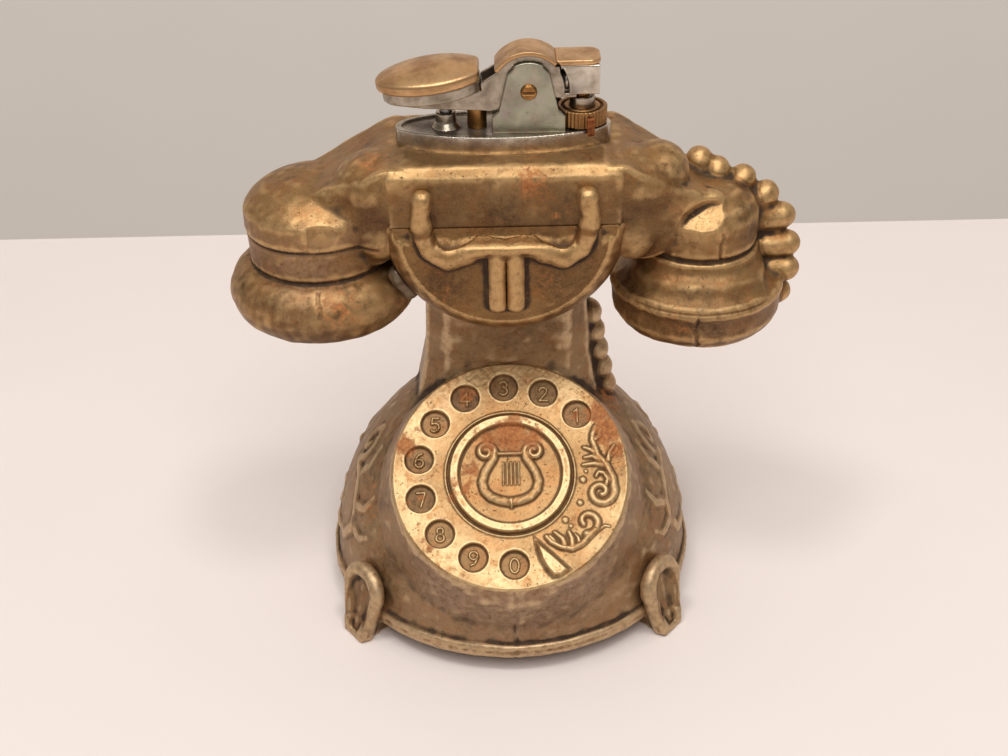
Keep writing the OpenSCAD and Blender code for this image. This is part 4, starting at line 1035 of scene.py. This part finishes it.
casting("handset", "handset_casting", "casting", 0.36, 8, 0.07, handset_relief,
        fill=SHOULDERS + CORNERS + knuckles(), crisp=joint_line, press=worn_flat,
        melt=[(-39, -11, 97, 6, 1), (-44, -10, 98, 5, 1), (38, -12, 95, 4.5, 1), (42, -11, 97.5, 4.5, 1),
              (-22.8, -15, 103, 4, 1), (22.8, -15, 103, 4, 1), (-27, -12, 101, 7, 1), (27, -12, 101, 7, 1),
              (-26, -12, 93, 6, 1), (26, -12, 92, 6, 1), (31, -6, 106, 5, 0.8)],
        # Beside the mouthpiece's worn flat, hollows get no grime, painted shade or bright edges
        clean=[(38, -12, 96, 3, 0.8), (42, -11.5, 97, 3.5, 0.8)],
        # The darker marks on the grip's front, under the shoulders and on the cups' sides and lower parts are
        # painted shade, with grime round the pit beside the left shoulder
        soot=[(-12, -16, 100, 8, 0.5), (0, -16, 100, 8, 0.5), (12, -16, 100, 8, 0.5), (-26, -14, 97, 6, 0.5),
              (26, -14, 97, 7, 0.5), (-33, -14, 100.5, 2.5, 0.4), (-40, -18, 73, 10, 0.5),
              (-28, -12, 75, 6, 0.5), (52, -8, 92, 4, 0.3), (40, -16, 77, 8, 0.5), (-42, -16, 76, 6, 0.4)],
        rust=[(-26, -8, 107, 6, 0.5), (6, -15, 106, 5, 0.6), (44, -16, 92, 6, 0.5), (-34, -18, 80, 7, 0.5),
              (-46, -14, 76, 6, 0.4), (36, -18, 74, 6, 0.4), (10, -15, 99, 4, 0.4)],
        grey=[(-34, -16, 93, 4, 0.7), (-42, -16, 88, 8, 0.7), (46, -14, 72, 6, 0.3)],
        # The pale marks on the handset are painted highlights: on the mouthpiece's worn flat, the earpiece's
        # cap and bulge, and the grip's front bevel
        pale=[(40, -9, 95, 6, 1), (-37, -15, 96, 4, 0.6), (-20, -15, 108, 5, 0.7), (0, -15, 108.5, 5, 0.6),
              (16, -15, 108.5, 5, 0.7), (-28, -16, 79, 6, 0.6)])
casting("solder", "solder_joint", "solder", 0.25, 3, 0.3)

# The lighter unit's small parts: name, node, body, material, voxel, rounds of smoothing, lumps and painted
# shade
# Painted shade on the deck's floor, darkest at its left
DECK_SHADE = [(-15, 0, 112, 5.5, 0.95), (-8, 0, 112, 5.5, 0.95), (-1, 0, 112, 5.5, 0.8), (12, 1, 112, 5, 0.6)]
# Painted shade on the snuffer box's left part
BOX_SHADE = [(13.5, -4, 120.5, 3.2, 0.5)]
BOX_FILL = [(12.9, 0, 122, 1.1, 3.1, 2.4)]
SMALL_PARTS = [
    ("deck", "deck_plate", "insert", "polished", 0.13, 3, (), DECK_SHADE),
    ("bracket_sheet", "bracket", "insert", "tinted"),
    ("pivot_screw_head", "pivot_screw", "insert", "brass"),
    ("plunger_tube", "plunger_guide", "insert", "chrome"),
    ("post", "stop_post", "insert", "brass"),
    ("neck", "valve_body", "insert", "chrome"),
    ("channel", "lever_channel", "lever", "nickel"),
    ("pad", "thumb_pad", "lever", "gilt", 0.15, 26),
    ("tray", "pad_tray", "lever", "nickel", 0.13, 8),
    ("cover", "wheel_cover", "lever", "gilt", 0.13, 7),
    ("box", "snuffer_box", "lever", "polished", 0.13, 9, BOX_FILL, BOX_SHADE),
    ("lid", "snuffer_cap", "lever", "gilt", 0.13, 8),
    ("ring", "adjuster_ring", "flame_ring", "knurled"),
    ("pointer", "adjuster_pointer", "flame_ring", "rusty"),
    ("jet_tube", "burner_jet", "jet", "brass"),
    ("plunger_pin", "return_plunger", "plunger", "steel"),
]


def small_part(name, node, body, material, voxel=0.13, soften=3, fill=(), soot=()):
    """A part of the lighter unit with its edges rounded as by stamping and polishing."""
    mesh = voxel_mesh(name, node, voxel, fill)
    smoother = Smoother(mesh)
    low, high = (np.array(corner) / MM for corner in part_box(node))
    put_points(mesh, np.clip(smoother(points_of(mesh), soften), low, high))
    settle(mesh, 10)
    points = points_of(mesh)
    for mark in MARKS:
        tell(mesh, mark, marks(points, soot if mark == "soot" else ()))
    return add_object(name, mesh, body, material, node, node)


for part in SMALL_PARTS:
    small_part(*part)

# The parts that hardly show, by material, which keep the construction's meshes
INNER = {
    "steel": ["gas_tank", "filler_stem", "filler_spring", "flint_spring", "bracket_rivets", "pivot_nut",
              "return_spring", "wheel_pawl", "ratchet_wheel"],
    "brass": ["filler_body", "flint_tube", "flint_screw"],
    "dark": ["spark_wheel", "flint"],
    "rubber": ["valve_seal", "snuffer_pad"],
}
for material, nodes in INNER.items():
    for node in nodes:
        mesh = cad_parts[node].data
        mesh.materials.clear()
        mesh.materials.append(MATERIALS[material])

# The table, the wall behind it, and the lamps

# How much darker the clouds on paper and paint are, and how wide they are
CLOUD_SHADE = 0.96
CLOUD_SIZE = 90


def plain(name, colour, roughness, glow=0.0):
    """A pale, slightly clouded surface that may glow a little, as one lit from elsewhere in the room."""
    t = Tree(name)
    cloud = t.ramp(t.noise(CLOUD_SIZE, 3, 0.5), 0.3, 0.7, 0, 0.5)
    material = t.finish(t.mix(cloud, colour, tuple(v * CLOUD_SHADE for v in colour)), 0.0, roughness)
    t.shader.inputs["Emission Color"].default_value = (*colour, 1)
    t.shader.inputs["Emission Strength"].default_value = glow
    return material


def plane(name, corners, material):
    """A flat piece of the stage through corners in millimetres."""
    mesh = bpy.data.meshes.new(name)
    mesh.from_pydata([tuple(v * MM for v in c) for c in corners], [], [tuple(range(len(corners)))])
    mesh.materials.append(material)
    made = bpy.data.objects.new(name, mesh)
    bpy.context.scene.collection.objects.link(made)
    return made


TABLE_SIDE = 900
TABLE_BACK = 175
WALL_SIDE = 1500
WALL_BACK = 700
WALL_LOW = -400
WALL_HIGH = 1200
plane("table", [(-TABLE_SIDE, -TABLE_SIDE, 0), (TABLE_SIDE, -TABLE_SIDE, 0),
                (TABLE_SIDE, TABLE_BACK, 0), (-TABLE_SIDE, TABLE_BACK, 0)],
      plain("table_paper", linear(240, 228, 222), 0.7))
plane("wall", [(-WALL_SIDE, WALL_BACK, WALL_LOW), (WALL_SIDE, WALL_BACK, WALL_LOW),
               (WALL_SIDE, WALL_BACK, WALL_HIGH), (-WALL_SIDE, WALL_BACK, WALL_HIGH)],
      plain("wall_paint", linear(222, 211, 200), 0.8, 0.33))

# Where the lamps point, in metres
AIM = (0, 0, 0.05)


def lamp(name, place, size, power):
    """A square lamp, in metres and watts, that is turned to the object."""
    data = bpy.data.lights.new(name, "AREA")
    data.shape = "SQUARE"
    data.size = size
    data.energy = power
    made = bpy.data.objects.new(name, data)
    made.rotation_mode = "QUATERNION"
    made.rotation_quaternion = (Vector(place) - Vector(AIM)).to_track_quat("Z", "Y")
    made.location = place
    bpy.context.scene.collection.objects.link(made)
    return made


lamp("ceiling", (0, -0.55, 0.9), 0.6, 3.8)
lamp("left_tube", (-0.3, -0.23, 1.03), 0.2, 2.0)
lamp("right_tube", (0.23, -0.24, 1.04), 0.2, 1.8)

# The room's light is weaker low down and in front, where the photographer stands
ROOM_COLOUR = (0.95, 0.92, 0.89, 1)
ROOM_TURN = 0.2
ROOM_LOW = -0.1
ROOM_WEAK = 0.2
ROOM_STRONG = 0.66
world = bpy.data.worlds.new("world")
bpy.context.scene.world = world
world.use_nodes = True
nodes, links = world.node_tree.nodes, world.node_tree.links
nodes["Background"].inputs["Color"].default_value = ROOM_COLOUR
place = nodes.new("ShaderNodeTexCoord")
split = nodes.new("ShaderNodeSeparateXYZ")
links.new(place.outputs["Generated"], split.inputs[0])
behind = nodes.new("ShaderNodeMath")
behind.operation = "MULTIPLY_ADD"
behind.inputs[1].default_value = ROOM_TURN
links.new(split.outputs["Y"], behind.inputs[0])
links.new(split.outputs["Z"], behind.inputs[2])
level = nodes.new("ShaderNodeMapRange")
level.inputs["From Min"].default_value = ROOM_LOW
level.inputs["To Min"].default_value = ROOM_WEAK
level.inputs["To Max"].default_value = ROOM_STRONG
links.new(behind.outputs[0], level.inputs["Value"])
links.new(level.outputs[0], nodes["Background"].inputs["Strength"])

bpy.context.scene.view_settings.view_transform = "Standard"
